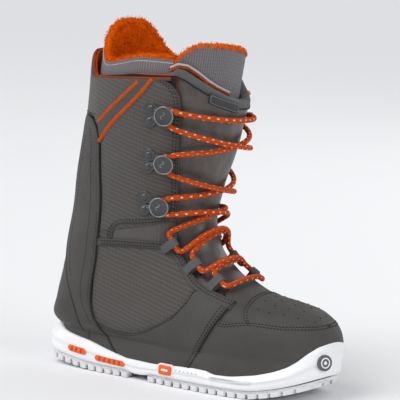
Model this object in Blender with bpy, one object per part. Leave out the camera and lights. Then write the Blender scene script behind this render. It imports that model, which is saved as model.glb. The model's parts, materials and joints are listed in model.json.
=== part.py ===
"""Lace-up snowboard boot, right foot, about EU 43 / US 10, built as separate named pieces.

Boot frame while modelling: millimetres, +X to the toe, +Y to the medial (inner) side, +Z up, and the
back of the heel near x = 0.  Everything soft is a layer of one "last": stations S run from the toe
along the foot, turn through a fan at the ankle and climb the shaft, and angle T runs round each
section (0 at the front or top, 180 at the back or underside, negative on the lateral side).
"""

import math

import bmesh
import bpy
import numpy as np

MM = 0.001
ORIGIN = np.array([146.8, 0.0, 0.0])  # middle of the whole boot on the ground, the origin of the part

# ---- the last -------------------------------------------------------------------------------
TOE_X = 301.0
FAN_X, FAN_Z = 232.0, 205.0  # centre of the ankle fan, ahead of the instep
FAN_R = 90.0
LEAN = math.radians(9.0)  # forward lean of the shaft
S_FAN = TOE_X - FAN_X
S_SHAFT = S_FAN + (math.pi / 2 + LEAN) * FAN_R
FRONT = [(301, 46), (299, 60), (292, 71), (279, 81), (255, 87), (228, 92), (205, 102), (184, 115),
         (167, 134), (161, 160), (167, 192), (175, 225), (184, 260), (190, 300), (196, 350)]
BACK = [(301, 40), (290, 34), (250, 30), (180, 30), (110, 31), (50, 33), (10, 36), (-7, 48), (-4, 65),
        (1, 90), (5, 125), (11, 165), (15, 205), (21, 250), (25, 290), (31, 350)]
# station, lateral half width, medial half width, middle
WIDTHS = [(0, 25, 25, 6), (12, 31, 33, 6), (30, 39, 40, 4), (60, 48, 45, 1), (85, 51, 44, -1),
          (118, 49, 42, -1), (151, 47, 43, 0), (182, 48, 46, 0), (211, 51, 50, 0), (230, 55, 55, 0),
          (270, 58, 58, 0), (310, 59, 59, 0), (380, 58, 58, 0)]
# station, roundness of the front half, of the back half, and where the section is widest
ROUND = [(0, 2.0, 2.5, 0.60), (40, 2.2, 4.5, 0.62), (85, 2.2, 4.5, 0.62), (145, 2.2, 3.2, 0.55),
         (195, 2.2, 2.4, 0.50), (227, 2.3, 2.3, 0.50), (380, 2.3, 2.3, 0.50)]

# ---- layers: depths in from the last, negative outside it ------------------------------------
OVERLAY = (-2.4, -0.5)
CARCASS = (1.3, 3.3)
LINER_WALL = 6.0

# ---- ankle split between foot and cuff --------------------------------------------------------
FLEX_X, FLEX_Z = 45.0, 138.0  # cuff hinge line
SPLIT_LOW = 136.4
SPLIT_HIGH = 138.2
SPLIT_RISE = 0.175  # the gap widens to the front
TONGUE_PIVOT = (150.0, 0.0, 168.0)  # tongue hinge line
LINER_TONGUE_HALF = 43.0  # half angle of the liner tongue, clear of the liner's front edges as it tips
THROAT = 50.0  # half angle of the opening over the instep and shin
STRIP_TOP = 252.0  # height of the top of the backstays

LACE_R = 2.2
LACE_LOW, LACE_HIGH = 4.4, 9.4  # clearances of the under and over strands at a crossing


def smooth(points, count=400):
    """A curve through the points, sampled evenly by length."""
    p = np.array(points, float)
    d = np.concatenate([[0.0], np.cumsum(np.linalg.norm(np.diff(p, axis=0), axis=1))])
    m = np.gradient(p, d, axis=0)
    t = np.linspace(0.0, d[-1], count)
    i = np.clip(np.searchsorted(d, t, side="right") - 1, 0, len(d) - 2)
    h = d[i + 1] - d[i]
    u = ((t - d[i]) / h)[:, None]
    h = h[:, None]
    return ((2 * u**3 - 3 * u**2 + 1) * p[i] + (u**3 - 2 * u**2 + u) * h * m[i]
            + (3 * u**2 - 2 * u**3) * p[i + 1] + (u**3 - u**2) * h * m[i + 1])


def station(x, z):
    """Station and distance from the fan centre line for a side-view point."""
    x, z = np.asarray(x, float), np.asarray(z, float)
    dx, dz = x - FAN_X, z - FAN_Z
    h = dx * math.sin(LEAN) + dz * math.cos(LEAN)
    shaft = h >= 0
    foot = (dx >= 0) & ~shaft
    s = np.where(foot, TOE_X - x, np.where(shaft, S_SHAFT + h, S_FAN + np.arctan2(-dx, -dz) * FAN_R))
    r = np.where(foot, -dz, np.where(shaft, -dx * math.cos(LEAN) + dz * math.sin(LEAN), np.hypot(dx, dz)))
    return s, r


def profile(points):
    curve = smooth(points)
    s, r = station(curve[:, 0], curve[:, 1])
    order = np.argsort(s)
    return s[order], r[order]


FRONT_S, FRONT_R = profile(FRONT)
BACK_S, BACK_R = profile(BACK)
WIDTH_T = smooth(WIDTHS)
ROUND_T = smooth(ROUND)


def section(s, depth):
    """Front, middle and back radius, lateral and medial half widths, middle y, and the two roundnesses."""
    front = np.interp(s, FRONT_S, FRONT_R)
    back = np.interp(s, BACK_S, BACK_R)
    nf, nb, part = (np.interp(s, ROUND_T[:, 0], ROUND_T[:, k]) for k in (1, 2, 3))
    lat, med, mid_y = (np.interp(s, WIDTH_T[:, 0], WIDTH_T[:, k]) for k in (1, 2, 3))
    q = np.clip((s - depth) / 18.0, 0.0, 1.0)
    nose = np.sqrt(np.maximum(1.0 - (1.0 - q) ** 2, 0.004))
    middle = front + (back - front) * part
    front, back = np.minimum(front + depth, middle - 1.0), np.maximum(back - depth, middle + 1.0)
    return front, middle, back, (lat - depth) * nose, (med - depth) * nose, mid_y, nf, nb


def layer(s, t, depth=0.0):
    """Points of the last at stations s and angles t (degrees), moved in by depth."""
    s, t, depth = np.broadcast_arrays(np.asarray(s, float), np.radians(t), np.asarray(depth, float))
    front, middle, back, lat, med, mid_y, nf, nb = section(s, depth)
    c, w = np.cos(t), np.sin(t)
    n = np.where(c > 0, nf, nb)
    cc = np.sign(c) * np.abs(c) ** (2 / n)
    ww = np.sign(w) * np.abs(w) ** (2 / n)
    r = np.where(c > 0, middle - (middle - front) * cc, middle - (back - middle) * cc)
    y = mid_y + np.where(w < 0, lat, med) * ww
    a = np.clip((s - S_FAN) / FAN_R, 0.0, math.pi / 2 + LEAN)
    h = np.maximum(s - S_SHAFT, 0.0)
    x = FAN_X + np.maximum(S_FAN - s, 0.0) - np.sin(a) * r + h * math.sin(LEAN)
    z = FAN_Z - np.cos(a) * r + h * math.cos(LEAN)
    return np.stack([x, y, z], -1)


def chart(points, side):
    """Stations and angles for side-view points (x, z) on the lateral (-1) or medial (1) flank."""
    p = np.array(points, float)
    s, r = station(p[:, 0], p[:, 1])
    front, middle, back, _, _, _, nf, nb = section(s, 0.0)
    c = np.where(r < middle, (middle - r) / (middle - front), (middle - r) / (back - middle))
    n = np.where(c > 0, nf, nb)
    c = np.sign(c) * np.minimum(np.abs(c), 1.0) ** (n / 2)
    return np.stack([s, side * np.degrees(np.arccos(np.clip(c, -1, 1)))], -1)


def level(t, depth, plane):
    """Station at angle t where a layer at depth climbs through the plane z = plane(x)."""
    t, depth = np.broadcast_arrays(np.asarray(t, float), np.asarray(depth, float))
    lo, hi = np.full(t.shape, S_FAN - 20.0), np.full(t.shape, S_SHAFT + 170.0)
    for _ in range(40):
        mid = (lo + hi) / 2
        p = layer(mid, t, depth)
        below = p[..., 2] < plane(p[..., 0])
        lo, hi = np.where(below, mid, lo), np.where(below, hi, mid)
    return lo


def upper_plane(x):
    return SPLIT_HIGH + SPLIT_RISE * np.maximum(x - FLEX_X, 0.0)


def strip_plane(x):
    return STRIP_TOP + 0.0 * x


def rim_plane(x):
    return 290.0 + 0.07 * (x - 25.0)


def split(t, depth, upper, margin=0.0):
    """Station at angle t of the lower or upper side of the ankle split."""
    return level(t, depth, lambda x: (upper_plane(x) if upper else SPLIT_LOW) + margin)


def resample(points, count):
    p = np.array(points, float)
    d = np.concatenate([[0.0], np.cumsum(np.linalg.norm(np.diff(p, axis=0), axis=1))])
    t = np.linspace(0.0, d[-1], count)
    return np.stack([np.interp(t, d, p[:, k]) for k in range(p.shape[1])], -1)


# ---- turning grids into objects ---------------------------------------------------------------
def material(name, colour, rough, metal=0.0):
    mat = bpy.data.materials.new(name)
    mat.use_nodes = True
    shader = mat.node_tree.nodes["Principled BSDF"]
    shader.inputs["Base Color"].default_value = (*colour, 1.0)
    shader.inputs["Roughness"].default_value = rough
    shader.inputs["Metallic"].default_value = metal
    return mat


def add(name, verts, faces, mat, pivot=(0.0, 0.0, 0.0)):
    """A closed object with its own origin at pivot (mm, boot frame)."""
    mesh = bpy.data.meshes.new(name)
    mesh.from_pydata([tuple(v) for v in (np.array(verts) - np.array(pivot)) * MM], [], faces)
    bm = bmesh.new()
    bm.from_mesh(mesh)
    bmesh.ops.recalc_face_normals(bm, faces=bm.faces)
    bmesh.ops.triangulate(bm, faces=[f for f in bm.faces if len(f.verts) > 4])
    bm.to_mesh(mesh)
    bm.free()
    mesh.materials.append(mat)
    obj = bpy.data.objects.new(name, mesh)
    obj.location = (np.array(pivot) - ORIGIN) * MM
    bpy.context.collection.objects.link(obj)
    return obj


def slab(outer, inner, keep=None, wrap=False, capped=False):
    """Closed mesh between two grids of points.

    keep masks the cells, wrap joins the last column to the first, capped closes the first row of both skins.
    """
    rows, cols = outer.shape[:2]
    cells = cols if wrap else cols - 1
    if keep is None:
        keep = np.ones((rows - 1, cells), bool)
    size = rows * cols
    verts = np.concatenate([outer.reshape(-1, 3), inner.reshape(-1, 3)])
    faces = []
    for i in range(rows - 1):
        for j in range(cells):
            if not keep[i, j]:
                continue
            k = (j + 1) % cols
            a, b, c, d = i * cols + j, i * cols + k, (i + 1) * cols + k, (i + 1) * cols + j
            faces += [(a, b, c, d), (a + size, d + size, c + size, b + size)]
            left = keep[i, j - 1] if (j > 0 or wrap) else False
            right = keep[i, k if wrap else j + 1] if (j < cells - 1 or wrap) else False
            low = (i == 0 and not capped) or (i > 0 and not keep[i - 1, j])
            high = i == rows - 2 or not keep[i + 1, j]
            for open_side, (p, q) in ((low, (a, b)), (not right, (b, c)), (high, (c, d)), (not left, (d, a))):
                if open_side:
                    faces.append((q, p, p + size, q + size))
    if capped:
        faces += [tuple(range(cols))[::-1], tuple(range(size, size + cols))]
    used = sorted({v for f in faces for v in f})
    index = {v: n for n, v in enumerate(used)}
    return verts[used], [tuple(index[v] for v in f) for f in faces]


def grid(edge_a, edge_b, rows, cols, gap=0.45):
    """A plane grid from edge_a to edge_b, held back from every side by a small gap."""
    a, b = resample(edge_a, cols), resample(edge_b, cols)
    v = np.linspace(0.0, 1.0, rows)[:, None, None]
    inset = (gap / np.maximum(np.linalg.norm(a - b, axis=1), 1.0))[None, :, None]
    v = inset + v * (1 - 2 * inset)
    g = a[None] * (1 - v) + b[None] * v
    for end, near in ((0, 1), (-1, -2)):
        move = gap / np.maximum(np.linalg.norm(g[:, near] - g[:, end], axis=1), 1.0)[:, None]
        g[:, end] = g[:, end] * (1 - move) + g[:, near] * move
    return g


def flank(name, side, edge_a, edge_b, rows, cols, depths, mat, gap=0.45):
    """A panel on one flank between two side-view edges."""
    g = grid(edge_a, edge_b, rows, cols, gap)
    c = chart(g.reshape(-1, 2), side).reshape(g.shape)
    outer, inner = (layer(c[..., 0], c[..., 1], d) for d in depths)
    return add(name, *slab(outer, inner), mat)


def wrapped(name, low, high, angles, rows, depths, mat):
    """A panel across the back between two rows of stations."""
    s, t = np.broadcast_arrays(blend_rows(low, high, rows), angles[None, :])
    return add(name, *slab(layer(s, t, depths[0]), layer(s, t, depths[1])), mat)


def frames(path):
    tangent = np.gradient(path, axis=0)
    tangent /= np.linalg.norm(tangent, axis=1)[:, None]
    side = np.cross(tangent[0], (0.0, 0.0, 1.0))
    out = []
    for t in tangent:
        side = side - t * (side @ t)
        side = side / np.linalg.norm(side)
        out.append((side, np.cross(t, side)))
    return out


def tube(name, path, radius, sides, mat, pivot=(0.0, 0.0, 0.0)):
    turns = np.arange(sides) * 2 * math.pi / sides
    rings = [p + radius * (np.cos(turns)[:, None] * u + np.sin(turns)[:, None] * v)
             for p, (u, v) in zip(path, frames(path))]
    verts = np.concatenate(rings)
    count = len(path)
    faces = [(i * sides + j, i * sides + (j + 1) % sides,
              (i + 1) * sides + (j + 1) % sides, (i + 1) * sides + j)
             for i in range(count - 1) for j in range(sides)]
    faces += [tuple(range(sides))[::-1], tuple((count - 1) * sides + j for j in range(sides))]
    return add(name, verts, faces, mat, pivot)


def revolve(name, centre, axis, outline, sides, mat):
    """A turned solid: outline is (radius, height) from one axis point to the other."""
    axis = np.array(axis, float) / np.linalg.norm(axis)
    u = np.cross(axis, (0.0, 0.0, 1.0))
    u /= np.linalg.norm(u)
    v = np.cross(axis, u)
    turns = np.arange(sides) * 2 * math.pi / sides
    verts = [np.array(centre) + axis * outline[0][1]]
    for r, h in outline[1:-1]:
        verts += [np.array(centre) + axis * h + r * (math.cos(a) * u + math.sin(a) * v) for a in turns]
    verts.append(np.array(centre) + axis * outline[-1][1])
    faces, rings = [], len(outline) - 2
    for j in range(sides):
        k = (j + 1) % sides
        faces.append((0, 1 + k, 1 + j))
        faces += [(1 + i * sides + j, 1 + i * sides + k, 1 + (i + 1) * sides + k, 1 + (i + 1) * sides + j)
                  for i in range(rings - 1)]
        faces.append((len(verts) - 1, 1 + (rings - 1) * sides + j, 1 + (rings - 1) * sides + k))
    return add(name, verts, faces, mat)


# ---- the sole ----------------------------------------------------------------------------------
EMBLEM = (302.5, -16.0, 39.0)  # middle of the emblem's back, on the toe bumper
EMBLEM_FACING = (0.90, -0.42, 0.10)
SOLE_X = smooth([(-14, 1.0), (-11, 18), (0, 30), (25, 38), (60, 43), (95, 46), (130, 50), (165, 54),
                 (205, 57), (240, 54), (270, 43), (292, 27), (303, 10), (305, -2)], 200)  # lateral half
SOLE_M = smooth([(-14, 1.0), (-11, 18), (0, 31), (25, 38), (60, 41), (95, 42), (130, 43), (165, 46),
                 (205, 49), (240, 52), (270, 46), (292, 31), (303, 14), (305, -2)], 200)


def half_width(x, side):
    curve = SOLE_X if side < 0 else SOLE_M
    return np.interp(x, curve[:, 0], curve[:, 1])


def spring(x):
    """Height of the bottom of the sole above the ground."""
    return 17.0 * np.clip((x - 232.0) / 72.0, 0, 1) ** 1.7 + 3.0 * np.clip((14.0 - x) / 26.0, 0, 1) ** 1.5


def tread(name, x0, x1, lugs, across, mat):
    """A rubber pod: flat pads stand out of a thinner base, with channels between them."""
    xs, zs = [], []
    pitch = (x1 - x0) / lugs
    for i in range(lugs):
        a, b = x0 + i * pitch, x0 + (i + 1) * pitch
        xs += [a + 0.3, a + 2.4, b - 2.4, b - 0.3]
        zs += [0, 1, 1, 0]
    ys, yz = [], []
    for j in range(across):
        a, b = -1 + 2 * j / across, -1 + 2 * (j + 1) / across
        ys += [a + 0.01, a + 0.075, b - 0.075, b - 0.01]
        yz += [0, 1, 1, 0]
    xs, ys = np.array(xs), np.array(ys)
    g = np.zeros((len(xs), len(ys), 3))
    wide = np.where(ys[None, :] < 0, half_width(xs, -1)[:, None], half_width(xs, 1)[:, None]) - 3.0
    g[..., 0] = xs[:, None]
    g[..., 1] = ys[None, :] * wide
    g[..., 2] = spring(xs)[:, None] + np.where(np.outer(zs, yz) > 0, 0.0, 3.6)
    top = g.copy()
    top[..., 2] = spring(xs)[:, None] + 7.0
    return add(name, *slab(top, g), mat)


def rim_height(x):
    """Top of the midsole wall."""
    rows = [(-14, 47), (10, 45), (35, 41), (80, 37), (130, 35), (175, 35), (205, 34), (212, 31), (245, 32),
            (268, 37), (284, 46), (296, 53), (306, 56)]
    p = np.array(rows, float)
    return np.interp(x, p[:, 0], p[:, 1])


def sole_loop(count=22):
    """Matching lateral and medial stations along the sole, heel to toe, closer together at the ends."""
    u = (1 - np.cos(np.linspace(0.06, 0.985, count) * math.pi)) / 2
    return -13.6 + u * (304.6 + 13.6)


def midsole_ring(xs, grow, z):
    """A ring round the sole outline at height z(x), grown outwards; lateral heel to toe, then medial back."""
    lat = np.stack([xs, -(half_width(xs, -1) + grow), z], -1)
    med = np.stack([xs, half_width(xs, 1) + grow, z], -1)
    centre = np.array([155.0, 0.0, 0.0])
    for ring in (lat, med):
        ends = np.clip(np.abs(ring[:, 0] - 147) / 150, 0, 1) ** 4
        ring[:, 0] += np.sign(ring[:, 0] - centre[0]) * grow * ends
    return np.concatenate([lat, med[::-1]])


def cast(origin, direction, depth):
    """Where rays from inside the last leave the layer at depth."""
    t0, t1 = np.zeros(len(origin)), np.full(len(origin), 150.0)
    for _ in range(36):
        mid = (t0 + t1) / 2
        p = origin + direction * mid[:, None]
        s, r = station(p[:, 0], p[:, 2])
        front, middle, back, lat, med, mid_y, nf, nb = section(np.maximum(s, 0.01), depth)
        n = np.where(r < middle, nf, nb)
        reach = np.where(r < middle, (middle - r) / (middle - front), (r - middle) / (back - middle))
        wide = np.where(p[:, 1] < mid_y, lat, med)
        sideways = np.abs((p[:, 1] - mid_y) / np.maximum(wide, 0.5))
        inside = (np.abs(reach) ** n + sideways ** n < 1) & (s > depth)
        t0, t1 = np.where(inside, mid, t0), np.where(inside, t1, mid)
    return origin + direction * t0[:, None]


def last_ring(xs, depth, z):
    """A ring of the last at height z(x), matched to the sole ring stations."""
    ring = midsole_ring(xs, 0.0, z)
    core_x = np.clip(ring[:, 0], 38.0, 252.0)
    origin = np.stack([core_x, np.zeros(len(ring)), ring[:, 2]], -1)
    direction = ring - origin
    direction[:, 2] = 0.0
    direction /= np.linalg.norm(direction, axis=1)[:, None]
    return cast(origin, direction, depth)


def lofted(name, rings, mat):
    """Closed solid through rings of equal length; both ends are capped across from side to side."""
    count = len(rings[0])
    half = count // 2
    verts = np.concatenate(rings)
    faces = []
    for i in range(len(rings) - 1):
        for j in range(count):
            k = (j + 1) % count
            faces.append((i * count + j, i * count + k, (i + 1) * count + k, (i + 1) * count + j))
    for base, flip in ((0, False), ((len(rings) - 1) * count, True)):
        for j in range(half - 1):
            f = (base + j, base + j + 1, base + count - 2 - j, base + count - 1 - j)
            faces.append(f[::-1] if flip else f)
    return add(name, verts, faces, mat)


def build_sole(mats):
    tread("outsole_heel", -6.0, 99.0, 5, 3, mats["rubber"])
    tread("outsole_forefoot", 122.0, 296.0, 8, 3, mats["rubber"])
    xs = sole_loop()
    base = np.where((xs > 100.5) & (xs < 120.5), 12.0, spring(xs) + 7.5)
    rim = rim_height(xs)
    rings = [midsole_ring(xs, -2.5, base), midsole_ring(xs, 0.5, base + 4.0),
             midsole_ring(xs, 1.0, (base + rim) / 2)]
    crest = last_ring(xs, -4.6, np.maximum(rim, 39.0))
    inner = last_ring(xs, -0.9, np.maximum(rim, 39.0))
    for ring in (crest, inner):
        ring[:, 2] = np.concatenate([rim, rim[::-1]])
    rings += [crest, inner]
    floor = inner.copy()
    centre = np.stack([np.clip(floor[:, 0], 30, 262), np.zeros(len(floor)), floor[:, 2]], -1)
    floor[:, :2] = centre[:, :2] + (floor[:, :2] - centre[:, :2]) * 0.96
    floor[:, 2] = floor_height(floor[:, 0]) - 2.6
    rings += [last_ring(xs, -2.0, np.minimum(floor_height(xs) + 4.0, rim - 1.5)), floor]
    lofted("midsole", rings, mats["foam"])
    for side_name, side in (("lat", -1), ("med", 1)):
        for label, x0, x1, z0, z1 in (("rear", 22, 46, 14.5, 23), ("front", 58, 95, 10.5, 17.5)):
            x = np.linspace(x0, x1, 5)
            z = np.linspace(z0, z1, 3)
            xx, zz = np.meshgrid(x, z)
            yy = side * (half_width(xx, side) + 1.5)
            outer = np.stack([xx, yy + side * 1.4, zz], -1)
            inner = np.stack([xx, yy + side * 0.2, zz], -1)
            add(f"insert_{side_name}_{label}", *slab(outer, inner), mats["orange_foam"])
    x, z = np.meshgrid(np.linspace(139, 155, 4), np.linspace(10.5, 21.5, 3))
    y = -(half_width(x, -1) + 1.5)
    outer, inner = np.stack([x, y - 3.6, z], -1), np.stack([x, y - 2.0, z], -1)
    add("side_badge", *slab(outer, inner), mats["orange_foam"])
    revolve("toe_emblem", EMBLEM, EMBLEM_FACING, [(0, 0.0), (7.5, 0.0), (7.5, 1.6), (5.5, 2.0), (0, 1.8)], 16,
            mats["grey_rubber"])


# ---- internal boards ------------------------------------------------------------------------------
def floor_height(x):
    curve = smooth(BACK)
    low = curve[curve[:, 1] < 44]
    order = np.argsort(low[:, 0])
    return np.interp(x, low[order, 0], low[order, 1])


def plate(name, x0, x1, narrow, above, thick, mat, count=13):
    """A flat board inside the boot, following the height of its floor."""
    xs = x0 + (1 - np.cos(np.linspace(0.12, 0.88, count) * math.pi)) / 2 * (x1 - x0)
    ring = last_ring(xs, 3.3, np.full(count, 46.0))
    ring[:, 0] = np.clip(ring[:, 0], x0, x1)
    ring[:, 1] *= narrow
    low, high = ring.copy(), ring.copy()
    low[:, 2] = floor_height(ring[:, 0]) + above
    high[:, 2] = low[:, 2] + thick
    return lofted(name, [low, high], mat)


# ---- the upper --------------------------------------------------------------------------------------
def liner_depth(t, s):
    """Outer face of the liner: deeper under the tongue and over the sole boards."""
    t = np.abs((np.asarray(t, float) + 180) % 360 - 180)
    under = np.clip((68.0 - t) / 12.0, 0, 1) * 5.4
    sole = np.clip((t - 140.0) / 20.0, 0, 1) * np.clip((175.0 - s) / 40.0, 0, 1) * 4.2
    return 6.0 + under + sole


def tongue_depth(t):
    return 0.6 + 3.2 * np.clip((np.abs(t) - 12.0) / 30.0, 0, 1)


def tube_grid(stations, angles, depth_out, depth_in):
    s, t = np.broadcast_arrays(np.asarray(stations, float), np.asarray(angles, float)[None, :])
    return layer(s, t, depth_out(t, s)), layer(s, t, depth_in(t, s))


def toe_grid(stations, angles, depth_out, depth_in):
    """As tube_grid, with the inner rows set back at the toe so that both ends can be capped."""
    s, t = np.broadcast_arrays(np.asarray(stations, float), np.asarray(angles, float)[None, :])
    out, inn = depth_out(t, s), depth_in(t, s)
    wall = np.max(inn - out)
    back = s + (wall + 1.0) * np.clip((60.0 - s) / 45.0, 0, 1)
    return layer(s, t, out), layer(back, t, depth_in(t, back))


def blend_rows(start, end, rows):
    v = np.linspace(0.0, 1.0, rows)[:, None]
    return start[None, :] * (1 - v) + end[None, :] * v


# share of the way from the throat to the ankle split, closer together where the heel turns up
HEEL_ROWS = np.array([0.12, 0.24, 0.36, 0.46, 0.55, 0.62, 0.67, 0.72, 0.77, 0.83, 0.91, 1.0])


def build_carcass(mats):
    ring_t = np.concatenate([np.linspace(THROAT, 180, 13), np.linspace(180, 360 - THROAT, 13)[1:]])
    front_t = np.linspace(-THROAT, THROAT, 8)[1:-1]
    t = np.concatenate([ring_t, front_t + 360])
    def depth(d):
        return lambda a, s: np.full(np.broadcast(a, s).shape, d)

    toe = np.array([4.5, 9, 18, 32, 48, 64, 79, 92])[:, None] + np.zeros(len(t))
    ankle = 92.0 + HEEL_ROWS[:, None] * (split(t, CARCASS[0], False, -0.6) - 92.0)
    rows = np.concatenate([toe, ankle])
    outer, inner = toe_grid(rows, t, depth(CARCASS[0]), depth(CARCASS[1]))
    keep = np.ones((len(rows) - 1, len(t)), bool)
    keep[len(toe) - 1:, len(ring_t) - 1:] = False
    add("shell_lining_foot", *slab(outer, inner, keep, wrap=True, capped=True), mats["lining"])
    up = blend_rows(split(ring_t, CARCASS[0], True, 0.6), level(ring_t, CARCASS[0], rim_plane), 8)
    outer, inner = tube_grid(up, ring_t, depth(CARCASS[0]), depth(CARCASS[1]))
    add("shell_lining_cuff", *slab(outer, inner), mats["lining"])


def build_liner(mats):
    full = np.concatenate([np.linspace(THROAT, 180, 12), np.linspace(180, 360 - THROAT, 12)[1:],
                           np.linspace(360 - THROAT, 360 + THROAT, 8)[1:-1]])
    def wall(a, s):
        return liner_depth(a, s) + LINER_WALL

    toe = np.array([13.0, 19, 28, 40, 54, 72, 92])[:, None] + np.zeros(len(full))
    rows = np.concatenate([toe, 92.0 + HEEL_ROWS[:, None] * (split(full, 8.0, False, -1.2) - 92.0)])
    outer, inner = toe_grid(rows, full, liner_depth, wall)
    add("liner_foot", *slab(outer, inner, wrap=True, capped=True), mats["mesh"])
    part = np.linspace(THROAT - 2, 362 - THROAT, 21)
    rim = level(part, 8.0, rim_plane)
    up = blend_rows(split(part, 8.0, True, 1.2), level(part, 8.0, lambda x: 350.0 - 0.06 * x), 9)
    s, t = np.broadcast_arrays(up, part[None, :])
    top = np.clip((s - rim) / 20.0, 0, 1)
    open_out = liner_depth(t, s) + top * 2.0
    add("liner_cuff", *slab(layer(s, t, open_out), layer(s, t, open_out + LINER_WALL)), mats["mesh"])
    front = np.linspace(THROAT - 4, 4 - THROAT, 9)
    low, high = split(front, 8.0, False, 0.8), split(front, 8.0, True, -0.8)
    fold = blend_rows(low, high, 3)
    s, t = np.broadcast_arrays(fold, front[None, :])
    add("liner_fold", *slab(layer(s, t, liner_depth(t, s)), layer(s, t, wall(t, s))), mats["mesh"])
    front = np.linspace(LINER_TONGUE_HALF, -LINER_TONGUE_HALF, 9)
    crown = level(front, 8.0, lambda x: 337.0 + 0 * x) - 8 * (np.abs(front) / THROAT) ** 2
    s, t = np.broadcast_arrays(blend_rows(split(front, 8.0, True, 1.2), crown, 9), front[None, :])
    add("liner_tongue", *slab(layer(s, t, liner_depth(t, s) - 0.2), layer(s, t, wall(t, s))), mats["mesh"],
        pivot=TONGUE_PIVOT)


def build_tongue(mats):
    t = np.linspace(THROAT - 3, 3 - THROAT, 11)

    def depth_out(a, s):
        return tongue_depth(a)

    def depth_in(a, s):
        return tongue_depth(a) * 0.5 + 6.6

    low = blend_rows(np.full(len(t), 95.0), split(t, 3.0, False, -0.8), 5)
    fold = blend_rows(split(t, 3.0, False, 0.8), split(t, 3.0, True, -0.8), 3)
    crown = level(t, 3.0, rim_plane) + 2.0 - 16.0 * (1 - (np.abs(t) / THROAT) ** 2)
    high = blend_rows(split(t, 3.0, True, 1.2), crown - 4.0, 8)
    binding = blend_rows(crown - 3.4, crown + 1.0, 2)
    still = (0.0, 0.0, 0.0)
    for name, rows, key, pivot in (("tongue_lower", low, "satin", still),
                                   ("tongue_fold", fold, "satin", still),
                                   ("tongue_upper", high, "satin", TONGUE_PIVOT),
                                   ("tongue_binding", binding, "binding", TONGUE_PIVOT)):
        outer, inner = tube_grid(rows, t, depth_out, depth_in)
        add(name, *slab(outer, inner), mats[key], pivot)
    base = float(level(0.0, 0.0, lambda x: 262.0 + 0 * x))
    g = grid([(base, -26), (base, 8)], [(base + 10, -26), (base + 10, 8)], 2, 5, 0.1)
    outer = layer(g[..., 0], g[..., 1], tongue_depth(g[..., 1]) - 1.4)
    inner = layer(g[..., 0], g[..., 1], tongue_depth(g[..., 1]) - 0.35)
    add("tongue_label", *slab(outer, inner), mats["label"], TONGUE_PIVOT)


def side_view(stations, angle):
    p = layer(stations, angle)
    return [(float(x), float(z)) for x, _, z in p]


def build_side_panels(mats):
    for name, side in (("lateral", -1), ("medial", 1)):
        high = [(55, 67), (73, 58), (98, 57), (117, 63), (135, 72), (150, 81), (166, 98), (180, 99),
                (213, 87)]
        low = [(53, 48), (85, 44), (120, 42), (150, 41), (184, 40)]
        flank(f"quarter_{name}", side, high, low, 6, 14, OVERLAY, mats["leather"])
        top = [(62, 135.5), (85, 135.5), (110, 135.5), (130, 135.5), (147, 126), (160, 107)]
        low = [(56, 70), (73, 61), (98, 60), (117, 66), (135, 75), (149, 84), (158, 93)]
        flank(f"ankle_panel_{name}", side, top, low, 7, 10, OVERLAY, mats["ripstop"])
        stations = split(150.0, 0.0, False, -0.8) - np.array([0.0, 4.0, 8.0, 12.0])
        rear = side_view(stations, side * 150.0) + [(19, 103), (27, 86), (36, 69), (42, 50)]
        front = [(61, 135.5), (58, 110), (56.5, 92), (54.5, 71), (52, 50)]
        flank(f"backstay_{name}_lower", side, front, rear, 5, 9, OVERLAY, mats["leather"])
        ends = split(150.0, 0.0, True, 0.8), level(150.0, 0.0, strip_plane)
        stations = np.linspace(float(ends[0]), float(ends[1]), 5)
        front = [(61.5, 142), (62, 172), (61, 221), (58, 238), (50, 251)]
        flank(f"backstay_{name}_upper", side, front, side_view(stations, side * 150.0), 5, 9, OVERLAY,
              mats["leather"])
        front = [(136, 155.5), (141, 172), (143, 192), (146, 220), (148, 250), (149, 272), (146, 288),
                 (136, 297)]
        rear = [(63, 142.2), (63.5, 172), (62.5, 221), (60, 239.5), (55, 253), (54, 291.5)]
        flank(f"cuff_panel_{name}", side, front, rear, 12, 13, OVERLAY, mats["ripstop"])
        low = [(68, 137.4), (138, 137.4)]
        high = [(68, upper_plane(68) - 1), (138, upper_plane(138) - 1)]
        flank(f"flex_gusset_{name}", side, low, high, 2, 6, (-0.8, 0.3), mats["gusset"], 0.0)
    angles = np.linspace(-151.5, -208.5, 7)
    wrapped("back_panel_lower", level(angles, 0.0, lambda x: 101.0 + 0 * x),
            split(angles, 0.0, False, -0.8), angles, 4,
            OVERLAY, mats["leather"])
    around = np.linspace(-128.0, -232.0, 13)
    wrapped("collar_back", level(around, 0.0, strip_plane) + 1.2,
            level(around, 0.0, rim_plane) - 0.3, around, 4,
            OVERLAY, mats["ripstop"])
    wrapped("back_panel_upper", split(angles, 0.0, True, 0.8),
            level(angles, 0.0, strip_plane), angles, 6, OVERLAY,
            mats["leather"])


def band(name, xs, z_low, z_high, rows, mat, slant=None):
    """A leather band on the last between two heights, round the heel or toe end."""
    grids = []
    for depth in OVERLAY:
        rings = []
        for v in np.linspace(0, 1, rows):
            z = z_low * (1 - v) + z_high * v
            rings.append(open_ring(xs if slant is None else slant(xs, z), depth, z))
        grids.append(np.stack(rings))
    return add(name, *slab(*grids), mat)


def open_ring(xs, depth, z):
    """Points of the last from the lateral start, round the end, to the medial start."""
    count = len(xs)
    y = np.where(np.arange(count) < count / 2, -1.0, 1.0)
    width = np.where(y < 0, half_width(xs, -1), half_width(xs, 1))
    target = np.stack([xs, y * np.where(np.abs(xs - 145) > 155, 0.6 * width, width), z], -1)
    origin = np.stack([np.clip(xs, 38, 252), np.zeros(count), z], -1)
    direction = target - origin
    direction[:, 2] = 0
    direction /= np.linalg.norm(direction, axis=1)[:, None]
    return cast(origin, direction, depth)


def rand_slant(xs, z):
    start = 187.5 + (z - 40.0) * 0.62
    return np.where(xs < 225, 225 - (225 - xs) * (225 - start) / 35.0, xs)


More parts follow.
